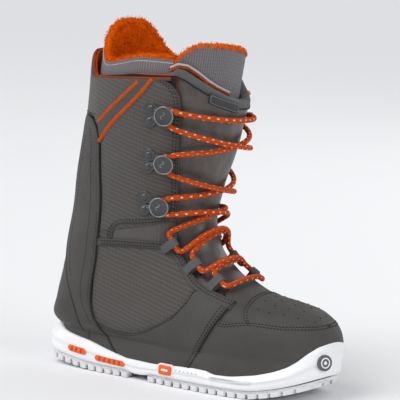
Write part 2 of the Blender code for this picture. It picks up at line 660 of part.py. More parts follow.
def build_toe_and_heel(mats):
    half = np.array([190.0, 201, 213, 225, 238, 252, 265, 277, 287, 295, 301, 304])
    xs = np.concatenate([half, half[::-1]])
    low = np.maximum(rim_height(xs) + 1.5, 38.5)
    high = np.interp(xs, [186, 200, 222, 245, 262, 276, 290, 305], [60, 66, 65, 64, 66, 70, 72, 73])
    band("toe_rand", xs, low, high, 4, mats["leather"], rand_slant)
    half = np.array([31.0, 24, 16, 8, 0, -7, -12])
    xs = np.concatenate([half, half[::-1]])
    low = rim_height(xs) + 1.5
    high = np.interp(xs, [-14, 2, 12, 22, 32], [98.5, 98.5, 84, 66, 52])
    band("heel_counter", xs, low, high, 5, mats["leather"])


def build_toe_top(mats):
    """Perforated toe-top panel and the saddle behind it, in stations and angles over the top."""
    t = np.linspace(-1, 1, 13)
    x = np.linspace(289, 224, 10)
    limit = np.interp(x, [222, 240, 262, 280, 292], [72.5, 72.0, 72.5, 75, 76])
    side_l, side_m = (chart(np.stack([x, limit], -1), k)[:, 1] for k in (-1, 1))
    angle = side_l[:, None] * (1 - t) / 2 + side_m[:, None] * (1 + t) / 2
    s = (TOE_X - x)[:, None] - np.abs(t)[None, :] ** 2 * np.linspace(0, -5, 10)[:, None]
    add("toe_cap_panel", *slab(layer(s, angle, OVERLAY[0]), layer(s, angle, OVERLAY[1])), mats["leather"])
    v = np.linspace(0, 1, 4)[:, None]
    tau = np.abs(t)
    front = 224.0 - 1.2 - 6.0 * tau**2
    back = 207.0 + 9.5 * np.clip((tau - 0.35) / 0.3, 0, 1) - 6.5 * np.clip((tau - 0.75) / 0.25, 0, 1)
    x = front * (1 - v) + back * v
    low = np.interp(x, [200, 214, 224], [76.5, 74.5, 73.8])
    points = np.stack([x.ravel(), low.ravel()], -1)
    side_l, side_m = (chart(points, k)[:, 1].reshape(x.shape) for k in (-1, 1))
    angle = side_l * (1 - t) / 2 + side_m * (1 + t) / 2
    last = station(back, np.interp(back, [200, 224], [102, 93]) * (1 - tau**2.5) + 76 * tau**2.5)[0]
    s = (78.6 + 5.2 * tau**2) * (1 - v) + last * v
    add("vamp_saddle", *slab(layer(s, angle, OVERLAY[0]), layer(s, angle, OVERLAY[1])), mats["leather"])


# ---- hooks, loops and lace --------------------------------------------------------------------------
HOOKS = [(137, 264), (135, 218), (127, 174)]  # side view, top to bottom
LOOPS = [(139, 137), (164, 117), (190, 102)]
EYESTAY_WAY = (0.62, 0.0, -0.78)  # direction of the eyestay edge down towards the toe


def surface_frame(x, z, side):
    """A point on the last with its outward normal, the direction along the flank to the front, and up."""
    s, t = chart([(x, z)], side)[0]
    p = layer(s, t)
    ds = layer(s + 0.5, t) - layer(s - 0.5, t)
    dt = layer(s, t + side * 0.5) - layer(s, t - side * 0.5)
    normal = np.cross(ds, dt) * -side
    normal /= np.linalg.norm(normal)
    if normal[1] * side < 0:
        normal = -normal
    up = ds - normal * (ds @ normal)
    up /= np.linalg.norm(up)
    forward = np.cross(up, normal) * side
    if forward[0] < 0:
        forward = -forward
    return p, normal, forward, up


def build_hooks(mats):
    """Each hook is one stamped piece: a riveted plate, a short neck at its front and a round disc."""
    turns = np.linspace(0, 2 * math.pi, 15)[:-1]
    profile_rings = ((3.0, 1.2), (3.0, 6.8), (8.8, 6.8), (8.8, 8.4), (7.4, 9.2))
    for side, tag in ((-1, "lat"), (1, "med")):
        for i, (x, z) in enumerate(HOOKS):
            p, n, f, u = surface_frame(x, z, side)
            base = p + n * 2.9
            plan = [f * (5.5 * math.cos(a) - (9.0 if math.cos(a) < -0.3 else 0.0)) + u * 7.5 * math.sin(a)
                    for a in turns]
            rings = [[base + q + n * h for q in plan] for h in (0.0, 1.2)]
            rings += [[base + n * h + r * (f * math.cos(a) + u * math.sin(a)) for a in turns]
                      for r, h in profile_rings]
            count = len(turns)
            faces = [(k * count + j, k * count + (j + 1) % count, (k + 1) * count + (j + 1) % count,
                      (k + 1) * count + j) for k in range(len(rings) - 1) for j in range(count)]
            faces += [tuple(range(count)), tuple((len(rings) - 1) * count + j for j in range(count))]
            add(f"hook_{tag}_{i + 1}", np.concatenate(rings), faces, mats["gunmetal"])


def build_loops(mats):
    """Short folded webbing loops that carry the lace under the eyestay."""
    for side, tag in ((-1, "lat"), (1, "med")):
        for i, (x, z) in enumerate(LOOPS):
            p, n, _, _ = surface_frame(x, z, side)
            along = np.array(EYESTAY_WAY)
            along -= n * (along @ n)
            along /= np.linalg.norm(along)
            across = np.cross(n, along)
            turns = np.linspace(0, 2 * math.pi, 11)[:-1]
            centre = p + n * 8.0
            skins = [np.stack([[centre + along * h + r * (n * math.cos(a) + across * 1.15 * math.sin(a))
                                for a in turns] for h in (-5, 5)]) for r in (5.0, 4.0)]
            add(f"lace_loop_{tag}_{i + 1}", *slab(*skins, wrap=True), mats["webbing"])


def loop_point(i, side, end):
    x, z = LOOPS[i]
    p, n, _, _ = surface_frame(x, z, side)
    along = np.array(EYESTAY_WAY)
    along -= n * (along @ n)
    return p + n * 8.0 + along / np.linalg.norm(along) * end


def hook_point(i, side, turn):
    """Lace positions round a hook neck: turn is the angle about the disc, 0 to the front and 90 up."""
    x, z = HOOKS[i]
    p, n, f, u = surface_frame(x, z, side)
    a = math.radians(turn)
    return p + n * 6.9 + (f * math.cos(a) + u * math.sin(a)) * (3.0 + LACE_R + 1.3)


def over(a, b, lift, ahead, count=11):
    """A strand from a to b laid round the front, with its clearance raised to lift where strands cross."""
    v = np.linspace(0, 1, count)
    clear = LACE_LOW + (lift - LACE_LOW) * np.clip(1.7 - np.abs(v - 0.5) * 5.0, 0, 1)
    line = a * (1 - v[:, None]) + b * v[:, None]
    across = line[:, 1] / max(abs(a[1]), abs(b[1]))
    direction = np.array(ahead) * (1 - across**2)[:, None]
    direction[:, 1] += across
    direction /= np.linalg.norm(direction, axis=1)[:, None]
    return [a] + list(cast(line, direction, -clear - LACE_R)[1:-1]) + [b]


def thin(path, tolerance=0.12):
    """Drop the points of a path that lie on the straight between the ones kept."""
    keep, start = [0], 0
    for end in range(2, len(path)):
        run = path[start + 1:end]
        line = path[end] - path[start]
        off = np.linalg.norm(np.cross(run - path[start], line / np.linalg.norm(line)), axis=1)
        if off.max() > tolerance or end - start > 24:
            start = end - 1
            keep.append(start)
    return path[keep + [len(path) - 1]]


def ease(path, times):
    """Round off the turns of a path, keeping its ends."""
    path = np.array(path, float)
    for _ in range(times):
        path[1:-1] = (path[:-2] + 2 * path[1:-1] + path[2:]) / 4
    return path


VAMP_WAY, ANKLE_WAY, SHIN_WAY = (0.6, 0.0, 0.8), (0.95, 0.0, 0.3), (0.99, 0.0, -0.1)


def lace_half(side):
    """From the bottom loop on one side, crossing to the middle loop opposite and back to the top loop."""
    first, second = (LACE_LOW, LACE_HIGH) if side < 0 else (LACE_HIGH, LACE_LOW)
    return ([loop_point(2, side, 0)]
            + over(loop_point(2, side, -12), loop_point(1, -side, 12), first, VAMP_WAY)
            + [loop_point(1, -side, 0)]
            + over(loop_point(1, -side, -12), loop_point(0, side, 12), second, VAMP_WAY)
            + [loop_point(0, side, 0), loop_point(0, side, -10)])


def build_lace(mats):
    cord = mats["lace"]
    bar = over(loop_point(2, -1, 12), loop_point(2, 1, 12), LACE_LOW, VAMP_WAY)
    path = smooth(lace_half(-1)[::-1] + bar + lace_half(1), 420)
    tube("lace_lower", thin(ease(path, 30)), LACE_R, 6, cord)
    for k, side in (("a", -1), ("b", 1)):
        lift = LACE_LOW if side < 0 else LACE_HIGH
        ankle = over(loop_point(0, side, -11.5), hook_point(2, -side, -52), lift, ANKLE_WAY)
        ankle = smooth(ankle, 120)[4:-5]
        tube(f"lace_ankle_{k}", thin(ankle), LACE_R, 6, cord)
        path = []
        here = -side
        for i in (2, 1, 0):
            path += [hook_point(i, here, turn) for turn in (-45, -100, -145, 180, 140, 95, 45)]
            if i:
                lift = LACE_LOW if here < 0 else LACE_HIGH
                path += over(hook_point(i, here, 45), hook_point(i - 1, -here, -45), lift, SHIN_WAY)[1:-1]
                here = -here
        if here < 0:
            end = hook_point(0, 1, 45) + np.array([18.0, 4.0, -10.0])
            path += over(hook_point(0, here, 45), end, LACE_LOW, SHIN_WAY)[1:]
        else:
            tail = hook_point(0, here, 45)
            path += [tail + np.array([8.0, 1.0, 7.0]), tail + np.array([16.0, -1.0, 12.0])]
        tube(f"lace_upper_{k}", thin(ease(smooth(path, 420), 8)), LACE_R, 6, cord)


def build_tape(mats):
    flank("cuff_tape_lateral", -1, [(62, 240), (100, 290)], [(74, 228), (119, 290)], 3, 7, (-3.9, -2.9),
          mats["label"], 0.2)


def main():
    for obj in list(bpy.data.objects):
        bpy.data.objects.remove(obj, do_unlink=True)
    mats = {
        "rubber": material("white_rubber", (0.80, 0.80, 0.81), 0.6),
        "foam": material("white_foam", (0.86, 0.86, 0.87), 0.5),
        "orange_foam": material("orange_foam", (0.80, 0.17, 0.03), 0.5),
        "grey_rubber": material("grey_rubber", (0.16, 0.16, 0.17), 0.5),
        "leather": material("grey_leather", (0.085, 0.078, 0.075), 0.6),
        "ripstop": material("grey_ripstop", (0.10, 0.095, 0.092), 0.75),
        "gusset": material("grey_stretch", (0.14, 0.13, 0.125), 0.8),
        "lining": material("orange_lining", (0.75, 0.16, 0.03), 0.85),
        "mesh": material("grey_mesh", (0.15, 0.15, 0.16), 0.85),
        "satin": material("brown_satin", (0.12, 0.108, 0.10), 0.5),
        "binding": material("dark_binding", (0.07, 0.068, 0.068), 0.7),
        "label": material("tape_grey", (0.22, 0.215, 0.21), 0.7),
        "gunmetal": material("gunmetal", (0.11, 0.11, 0.115), 0.35, 0.9),
        "webbing": material("grey_webbing", (0.18, 0.18, 0.18), 0.8),
        "lace": material("orange_lace", (0.90, 0.15, 0.03), 0.7),
        "board": material("board", (0.45, 0.40, 0.33), 0.8),
    }
    build_sole(mats)
    plate("lasting_board", 56.0, 282.0, 0.55, 4.3, 1.1, mats["board"])
    plate("footbed", 42.0, 268.0, 0.5, 18.0, 3.0, mats["gusset"])
    build_carcass(mats)
    build_liner(mats)
    build_tongue(mats)
    build_side_panels(mats)
    build_toe_and_heel(mats)
    build_toe_top(mats)
    build_hooks(mats)
    build_loops(mats)
    build_lace(mats)
    build_tape(mats)


main()
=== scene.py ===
import json
import math

import bmesh
import bpy
import numpy as np
from mathutils import Matrix, Vector

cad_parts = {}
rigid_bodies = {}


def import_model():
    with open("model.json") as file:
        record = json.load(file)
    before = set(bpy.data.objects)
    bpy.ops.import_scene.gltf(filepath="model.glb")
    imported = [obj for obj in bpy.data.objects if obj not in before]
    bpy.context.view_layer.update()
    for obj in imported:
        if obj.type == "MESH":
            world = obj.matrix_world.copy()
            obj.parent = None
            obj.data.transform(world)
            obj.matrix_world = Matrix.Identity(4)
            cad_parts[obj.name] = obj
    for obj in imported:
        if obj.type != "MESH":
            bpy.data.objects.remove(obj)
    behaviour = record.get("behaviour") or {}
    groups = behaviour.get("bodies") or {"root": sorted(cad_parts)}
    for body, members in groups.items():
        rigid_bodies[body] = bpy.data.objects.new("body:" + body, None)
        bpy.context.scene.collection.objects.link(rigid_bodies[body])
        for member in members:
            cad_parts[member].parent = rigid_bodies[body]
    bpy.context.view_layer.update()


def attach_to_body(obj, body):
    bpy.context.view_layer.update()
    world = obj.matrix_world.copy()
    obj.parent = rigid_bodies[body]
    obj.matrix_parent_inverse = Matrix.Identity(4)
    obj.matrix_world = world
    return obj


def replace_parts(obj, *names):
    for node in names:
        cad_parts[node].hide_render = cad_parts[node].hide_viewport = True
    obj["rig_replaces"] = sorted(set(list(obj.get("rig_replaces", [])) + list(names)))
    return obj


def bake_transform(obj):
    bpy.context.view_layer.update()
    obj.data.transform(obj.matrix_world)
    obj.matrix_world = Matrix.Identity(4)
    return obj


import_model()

ORIGIN_X = 146.8
FOOT, CUFF, TONGUE = "foot", "cuff", "tongue"

# ---- the last --------------------------------------------------------------------------------
TOE_X = 301.0
FAN_X, FAN_Z, FAN_R = 232.0, 205.0, 90.0
LEAN = math.radians(9.0)
S_FAN = TOE_X - FAN_X
S_SHAFT = S_FAN + (math.pi / 2 + LEAN) * FAN_R
FRONT = [(301, 46), (299, 60), (292, 71), (279, 81), (255, 87), (228, 92), (205, 102), (184, 115),
         (167, 134), (161, 160), (167, 192), (175, 225), (184, 260), (190, 300), (196, 350)]
BACK = [(301, 40), (290, 34), (250, 30), (180, 30), (110, 31), (50, 33), (10, 36), (-7, 48), (-4, 65),
        (1, 90), (5, 125), (11, 165), (15, 205), (21, 250), (25, 290), (31, 350)]
WIDTHS = [(0, 25, 25, 6), (12, 31, 33, 6), (30, 39, 40, 4), (60, 48, 45, 1), (85, 51, 44, -1),
          (118, 49, 42, -1), (151, 47, 43, 0), (182, 48, 46, 0), (211, 51, 50, 0), (230, 55, 55, 0),
          (270, 58, 58, 0), (310, 59, 59, 0), (380, 58, 58, 0)]
ROUND = [(0, 2.0, 2.5, 0.60), (40, 2.2, 4.5, 0.62), (85, 2.2, 4.5, 0.62), (145, 2.2, 3.2, 0.55),
         (195, 2.2, 2.4, 0.50), (227, 2.3, 2.3, 0.50), (380, 2.3, 2.3, 0.50)]
THROAT = 50.0  # half the opening in front of the leg, in degrees
SIDE_BEND = ((100.0, 0.0, 128.0), (100.0, 0.0, 157.0))
FRONT_BEND = ((160.0, 0.0, 126.0), (160.0, 0.0, 168.0))
TONGUE_BEND = ((160.0, 0.0, 164.0), (160.0, 0.0, 186.0))
LACE_BEND = ((139.0, 0.0, 215.0), (166.0, 0.0, 211.0))
LACE_R = 2.6
LACE_LOW, LACE_HIGH = 4.4, 9.4  # clearance of the under and over strands at a crossing
HOOK_LIFT, LOOP_LIFT = 5.6, 8.0  # height of the lace over its surface point
HOOK_NECK = 3.0
HOOKS = [(137, 264), (135, 218), (127, 174)]
LOOPS = [(139, 137), (164, 117), (190, 102)]


def smooth(points, count=400):
    """A curve through the points, sampled evenly by length."""
    p = np.array(points, float)
    d = np.concatenate([[0.0], np.cumsum(np.linalg.norm(np.diff(p, axis=0), axis=1))])
    m = np.gradient(p, d, axis=0) if len(p) > 2 else np.repeat((p[1] - p[0])[None] / d[-1], 2, 0)
    t = np.linspace(0.0, d[-1], count)
    i = np.clip(np.searchsorted(d, t, side="right") - 1, 0, len(d) - 2)
    h = d[i + 1] - d[i]
    u = ((t - d[i]) / h)[:, None]
    h = h[:, None]
    return ((2 * u**3 - 3 * u**2 + 1) * p[i] + (u**3 - 2 * u**2 + u) * h * m[i]
            + (3 * u**2 - 2 * u**3) * p[i + 1] + (u**3 - u**2) * h * m[i + 1])


def station(x, z):
    x, z = np.asarray(x, float), np.asarray(z, float)
    dx, dz = x - FAN_X, z - FAN_Z
    h = dx * math.sin(LEAN) + dz * math.cos(LEAN)
    shaft = h >= 0
    foot = (dx >= 0) & ~shaft
    s = np.where(foot, TOE_X - x, np.where(shaft, S_SHAFT + h, S_FAN + np.arctan2(-dx, -dz) * FAN_R))
    r = np.where(foot, -dz, np.where(shaft, -dx * math.cos(LEAN) + dz * math.sin(LEAN), np.hypot(dx, dz)))
    return s, r


def profile(points):
    curve = smooth(points)
    s, r = station(curve[:, 0], curve[:, 1])
    order = np.argsort(s)
    return s[order], r[order]


FRONT_S, FRONT_R = profile(FRONT)
BACK_S, BACK_R = profile(BACK)
WIDTH_T = smooth(WIDTHS)
ROUND_T = smooth(ROUND)


def section(s, depth):
    front = np.interp(s, FRONT_S, FRONT_R)
    back = np.interp(s, BACK_S, BACK_R)
    nf, nb, part = (np.interp(s, ROUND_T[:, 0], ROUND_T[:, k]) for k in (1, 2, 3))
    lat, med, mid_y = (np.interp(s, WIDTH_T[:, 0], WIDTH_T[:, k]) for k in (1, 2, 3))
    q = np.clip((s - depth) / 18.0, 0.0, 1.0)
    nose = np.sqrt(np.maximum(1.0 - (1.0 - q) ** 2, 0.004))
    middle = front + (back - front) * part
    front, back = np.minimum(front + depth, middle - 1.0), np.maximum(back - depth, middle + 1.0)
    return front, middle, back, (lat - depth) * nose, (med - depth) * nose, mid_y, nf, nb


def layer(s, t, depth=0.0):
    """Points of the last at stations s and angles t (degrees), moved in by depth."""
    s, t, depth = np.broadcast_arrays(np.asarray(s, float), np.radians(t), np.asarray(depth, float))
    front, middle, back, lat, med, mid_y, nf, nb = section(s, depth)
    c, w = np.cos(t), np.sin(t)
    n = np.where(c > 0, nf, nb)
    cc = np.sign(c) * np.abs(c) ** (2 / n)
    ww = np.sign(w) * np.abs(w) ** (2 / n)
    r = np.where(c > 0, middle - (middle - front) * cc, middle - (back - middle) * cc)
    y = mid_y + np.where(w < 0, lat, med) * ww
    a = np.clip((s - S_FAN) / FAN_R, 0.0, math.pi / 2 + LEAN)
    h = np.maximum(s - S_SHAFT, 0.0)
    x = FAN_X + np.maximum(S_FAN - s, 0.0) - np.sin(a) * r + h * math.sin(LEAN)
    z = FAN_Z - np.cos(a) * r + h * math.cos(LEAN)
    return np.stack([x, y, z], -1)


def chart(points, side):
    """Stations and angles for side-view points on the lateral (-1) or medial (1) flank."""
    p = np.array(points, float)
    s, r = station(p[..., 0], p[..., 1])
    front, middle, back, _, _, _, nf, nb = section(s, 0.0)
    c = np.where(r < middle, (middle - r) / (middle - front), (middle - r) / (back - middle))
    n = np.where(c > 0, nf, nb)
    c = np.sign(c) * np.minimum(np.abs(c), 1.0) ** (n / 2)
    return s, side * np.degrees(np.arccos(np.clip(c, -1, 1)))


def level(t, depth, plane):
    """Station at angle t where a layer at depth climbs through the plane z = plane(x)."""
    t, depth = np.broadcast_arrays(np.asarray(t, float), np.asarray(depth, float))
    lo, hi = np.full(t.shape, S_FAN - 20.0), np.full(t.shape, S_SHAFT + 170.0)
    for _ in range(30):
        mid = (lo + hi) / 2
        p = layer(mid, t, depth)
        below = p[..., 2] < plane(p[..., 0])
        lo, hi = np.where(below, mid, lo), np.where(below, hi, mid)
    return lo


def at_height(t, depth, z):
    return level(t, depth, lambda x: z)


def rim_plane(x):
    return 290.0 + 0.07 * (x - 25.0)


def ease_step(x):
    x = np.clip(x, 0, 1)
    return x * x * (3 - 2 * x)


def rim_level(t, depth, extra=0.0):
    """Station of the cuff's top edge, which climbs round the back of the leg."""
    turn = np.mod(np.asarray(t, float), 360.0)
    climb = 24.0 * ease_step((228.0 - turn) / 34.0) * ease_step((turn - 104.0) / 44.0)
    return level(t, depth, rim_plane) + extra + climb


def cast(origin, direction, depth):
    """Where rays from inside the last leave the layer at depth."""
    t0, t1 = np.zeros(len(origin)), np.full(len(origin), 150.0)
    for _ in range(30):
        mid = (t0 + t1) / 2
        p = origin + direction * mid[:, None]
        s, r = station(p[:, 0], p[:, 2])
        front, middle, back, lat, med, mid_y, nf, nb = section(np.maximum(s, 0.01), depth)
        n = np.where(r < middle, nf, nb)
        reach = np.where(r < middle, (middle - r) / (middle - front), (r - middle) / (back - middle))
        wide = np.where(p[:, 1] < mid_y, lat, med)
        off = np.abs((p[:, 1] - mid_y) / np.maximum(wide, 0.5))
        inside = (np.abs(reach) ** n + off**n < 1) & (s > depth)
        t0, t1 = np.where(inside, mid, t0), np.where(inside, t1, mid)
    return origin + direction * t0[:, None]


def world(points):
    """Metres in the frame, with the slight unevenness that sewn layers share above the sole."""
    p = np.array(points, float)
    soft = np.clip((p[..., 2] - 48.0) / 30.0, 0.0, 1.0)
    x, y, z = p[..., 0].copy(), p[..., 1].copy(), p[..., 2].copy()
    p[..., 0] += soft * 0.5 * np.sin(z / 17.0 + y / 33.0)
    sway = 0.6 * np.sin(x / 19.0 + z / 27.0) + 0.35 * np.sin(z / 9.0 - x / 41.0)
    p[..., 1] += soft * sway * np.tanh(y / 25.0)
    p[..., 0] -= ORIGIN_X
    return p * 0.001


# ---- meshes ------------------------------------------------------------------------------------
def build(name, verts, faces, mats, cloth=None, slots=None, sharp=38.0):
    """A closed mesh with its rest position and its cloth coordinates (mm along, mm across) kept on it."""
    verts = np.asarray(verts, float)
    mesh = bpy.data.meshes.new(name)
    mesh.from_pydata(world(verts).tolist(), [], faces)
    for mat in mats if isinstance(mats, (list, tuple)) else [mats]:
        mesh.materials.append(mat)
    if slots is not None:
        mesh.polygons.foreach_set("material_index", np.asarray(slots, np.int32))
    rest = mesh.attributes.new("rest", "FLOAT_VECTOR", "POINT")
    rest.data.foreach_set("vector", verts.astype(np.float32).ravel())
    flat = np.zeros((len(verts), 3), np.float32)
    if cloth is not None:
        flat[:, :2] = np.asarray(cloth).reshape(-1, 2)
    weave = mesh.attributes.new("cloth", "FLOAT_VECTOR", "POINT")
    weave.data.foreach_set("vector", flat.ravel())
    bm = bmesh.new()
    bm.from_mesh(mesh)
    bmesh.ops.recalc_face_normals(bm, faces=bm.faces)
    bm.to_mesh(mesh)
    bm.free()
    mesh.shade_smooth()
    mesh.set_sharp_from_angle(angle=math.radians(sharp))
    obj = bpy.data.objects.new(name, mesh)
    bpy.context.scene.collection.objects.link(obj)
    return obj


def wall_faces(rows, sides):
    """Quads between closed rows of equal length."""
    return [(i * sides + j, i * sides + (j + 1) % sides, (i + 1) * sides + (j + 1) % sides, (i + 1) * sides + j)
            for i in range(rows - 1) for j in range(sides)]


def capped_faces(rows, sides):
    ends = [tuple(range(sides))[::-1], tuple((rows - 1) * sides + j for j in range(sides))]
    return wall_faces(rows, sides) + ends


def attach(obj, where, nodes=()):
    """Ride on a body, or keep its world shape with no parent when given two bodies and a bend, standing for some CAD
    nodes.
    """
    if isinstance(where, str):
        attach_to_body(obj, where)
    else:
        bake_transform(obj)
    if nodes:
        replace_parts(obj, *nodes)
    return obj


def fit(name, solid, mat, where, nodes=(), sharp=38.0):
    """Build and attach a hard solid that needs no cloth coordinates."""
    return attach(build(name, *solid[:2], mat, sharp=sharp), where, nodes)


SIDE = ((FOOT, CUFF), SIDE_BEND)
AHEAD = ((FOOT, CUFF), FRONT_BEND)
OVER = ((CUFF, TONGUE), TONGUE_BEND)


def slab(outer, inner, keep=None, wrap=False, capped=False):
    """Vertices, faces, skin of each face (0 outer, 1 inner or edge) and kept points of a sheet."""
    rows, cols = outer.shape[:2]
    cells = cols if wrap else cols - 1
    if keep is None:
        keep = np.ones((rows - 1, cells), bool)
    size = rows * cols
    verts = np.concatenate([outer.reshape(-1, 3), inner.reshape(-1, 3)])
    faces, skin = [], []
    for i in range(rows - 1):
        for j in range(cells):
            if not keep[i, j]:
                continue
            k = (j + 1) % cols
            a, b, c, d = i * cols + j, i * cols + k, (i + 1) * cols + k, (i + 1) * cols + j
            faces += [(a, b, c, d), (a + size, d + size, c + size, b + size)]
            skin += [0, 1]
            left = keep[i, j - 1] if (j > 0 or wrap) else False
            right = keep[i, k if wrap else j + 1] if (j < cells - 1 or wrap) else False
            low = (i == 0 and not capped) or (i > 0 and not keep[i - 1, j])
            high = i == rows - 2 or not keep[i + 1, j]
            for is_open, (p, q) in ((low, (a, b)), (not right, (b, c)), (high, (c, d)), (not left, (d, a))):
                if is_open:
                    faces.append((q, p, p + size, q + size))
                    skin.append(1)
    if capped:
        faces += [tuple(range(cols))[::-1], tuple(range(size, size + cols))]
        skin += [0, 1]
    used = sorted({v for f in faces for v in f})
    index = {v: n for n, v in enumerate(used)}
    return verts[used], [tuple(index[v] for v in f) for f in faces], skin, np.array(used)


def shaft_height(points):
    return points[..., 0] * math.sin(LEAN) + points[..., 2] * math.cos(LEAN)


def sheet(name, outer, inner, flat, mats, keep=None, around=False, sharp=38.0):
    """A padded or sewn sheet between two point grids; flat gives its two cloth coordinates."""
    verts, faces, skin, used = slab(outer, inner, keep, wrap=around, capped=around)
    flat = np.stack(np.broadcast_arrays(*flat), -1).reshape(-1, 2)
    slots = skin if isinstance(mats, list) else None
    return build(name, verts, faces, mats, np.concatenate([flat, flat])[used], slots, sharp)


def travel(points, axis):
    """Distance along a grid axis from its start."""
    step = np.linalg.norm(np.diff(points, axis=axis), axis=-1)
    zero = np.zeros_like(np.take(step, [0], axis=axis))
    return np.concatenate([zero, np.cumsum(step, axis=axis)], axis=axis)


EDGE_ROWS = np.array([0.0, 0.25, 0.7, 1.4, 2.2, 3.0, 4.2, 5.2, 6.4])
ROLL = 1.3  # radius that a cut edge is rolled over


def spread(length, count):
    """Positions from 0 to 1 with rows close to both edges; length may vary from column to column."""
    length = np.asarray(length, float)
    near = EDGE_ROWS[:, None] * np.minimum(1.0, length / (2.15 * EDGE_ROWS[-1]))[None, :]
    near = near / length[None, :]
    v = np.linspace(0, 1, count + 2)[1:-1, None]
    middle = near[-1][None, :] * (1 - v) + (1 - near[-1][None, :]) * v
    return np.concatenate([near, middle, 1 - near[::-1]])


class Panel:
    """A sewn panel: place(u, v, depth) gives its points, u along it and v across it."""

    def __init__(self, place, outer=-2.3, inner=-0.4, rows=24, cols=40, grooves=(), puff=0.0):
        self.place, self.outer, self.inner = place, outer, inner
        mid = place(np.linspace(0, 1, 60), np.full(60, 0.5), 0.0)
        self.long = float(travel(mid, 0)[-1])
        self.u = spread(np.array([self.long]), cols)[:, 0]
        self.wide = self.width(self.u)
        self.v = spread(self.wide, rows)
        self.grooves, self.puff = grooves, puff

    def width(self, u):
        v = np.linspace(0, 1, 9)
        uu, vv = np.meshgrid(u, v)
        return np.maximum(travel(self.place(uu, vv, 0.0), 0)[-1], 1.0)

    def depth(self, u, v, wide):
        near = np.minimum(np.minimum(u, 1 - u) * self.long, np.minimum(v, 1 - v) * wide)
        e = np.clip(near, 0.0, ROLL)
        d = self.outer + ROLL - np.sqrt(ROLL**2 - (ROLL - e) ** 2)
        across = np.minimum(v, 1 - v) * wide
        for g in self.grooves:
            d = d + 0.28 * np.exp(-(((across - g) / 0.7) ** 2))
        return d - self.puff * np.clip(near / 12.0, 0, 1) ** 0.7

    def build(self, name, mat, where, nodes=(), slot=None):
        u = np.broadcast_to(self.u[None, :], self.v.shape)
        d = self.depth(u, self.v, self.wide[None, :])
        outer = self.place(u, self.v, d)
        inner = self.place(u, self.v, np.full(u.shape, self.inner))
        obj = sheet(name, outer, inner, (travel(outer, 0), shaft_height(outer)), mat)
        return attach(obj, where, nodes)

    def run(self, edge, offset, count=260, start=0.0, end=1.0, lift=0.1):
        """Points and outward directions along an edge (a, b, first or last), moved in by offset."""
        k = np.linspace(start, end, count)
        if edge in ("a", "b"):
            wide = self.width(k)
            u, v = k, (offset / wide if edge == "a" else 1 - offset / wide)
        else:
            u = np.full(count, offset / self.long if edge == "first" else 1 - offset / self.long)
            v, wide = k, self.width(u[:1])[0]
        d = self.depth(u, v, wide) - lift
        p = self.place(u, v, d)
        n = p - self.place(u, v, d + 2.0)
        return p, n / np.linalg.norm(n, axis=1)[:, None]


def flank(edge_a, edge_b, side):
    """Place function of a flank panel between two side-view edges."""
    a, b = smooth(edge_a, 160), smooth(edge_b, 160)
    k = np.linspace(0, 1, 160)

    def place(u, v, depth):
        x, z = (np.interp(u, k, a[:, i]) * (1 - v) + np.interp(u, k, b[:, i]) * v for i in (0, 1))
        under = np.maximum(CAD_RIM - z, 0.0)
        s, t = chart(np.stack([x, z + under], -1), side)
        p = layer(s, t, depth - np.minimum(under * 0.12, 1.1))
        p[..., 2] -= under
        return p
    return place


def across_back(low, high, angles):
    """Place function of a panel round the back: low and high give stations at an angle."""
    grid_t = np.linspace(angles[0], angles[1], 60)
    s0, s1 = low(grid_t), high(grid_t)
    k = np.linspace(0, 1, 60)

    def place(u, v, depth):
        t = np.interp(u, k, grid_t)
        s = np.interp(u, k, s0) * (1 - v) + np.interp(u, k, s1) * v
        return layer(s, t, depth)
    return place


# ---- cords, piping and stitches ---------------------------------------------------------------------
def frames(path):
    tangent = np.gradient(path, axis=0)
    tangent /= np.linalg.norm(tangent, axis=1)[:, None]
    side = np.cross(tangent[0], (0.0, 0.0, 1.0))
    if np.linalg.norm(side) < 0.1:
        side = np.cross(tangent[0], (0.0, 1.0, 0.0))
    out = []
    for t in tangent:
        side = side - t * (side @ t)
        side = side / np.linalg.norm(side)
        out.append((side, np.cross(t, side)))
    return out


def tube(path, radius, sides=10):
    """Vertices, faces and cloth coordinates (mm along, degrees round) of a capped tube."""
    path = np.asarray(path, float)
    turns = np.arange(sides) * 2 * math.pi / sides
    rad = np.broadcast_to(np.asarray(radius, float), (len(path),))
    verts = np.concatenate([p + r * (np.cos(turns)[:, None] * u + np.sin(turns)[:, None] * v)
                            for p, r, (u, v) in zip(path, rad, frames(path))])
    along = travel(path, 0)
    cloth = np.stack(np.broadcast_arrays(along[:, None], np.degrees(turns)[None, :]), -1).reshape(-1, 2)
    return verts, capped_faces(len(path), sides), cloth


def joined(parts):
    """Several (verts, faces, cloth) as one."""
    verts, faces, cloth, base = [], [], [], 0
    for v, f, c in parts:
        verts.append(v)
        cloth.append(c)
        faces += [tuple(i + base for i in q) for q in f]
        base += len(v)
    return np.concatenate(verts), faces, np.concatenate(cloth)


def even(path, step):
    d = travel(path, 0)
    n = max(2, int(round(d[-1] / step)) + 1)
    t = np.linspace(0, d[-1], n)
    return np.stack([np.interp(t, d, path[:, k]) for k in range(path.shape[1])], -1)


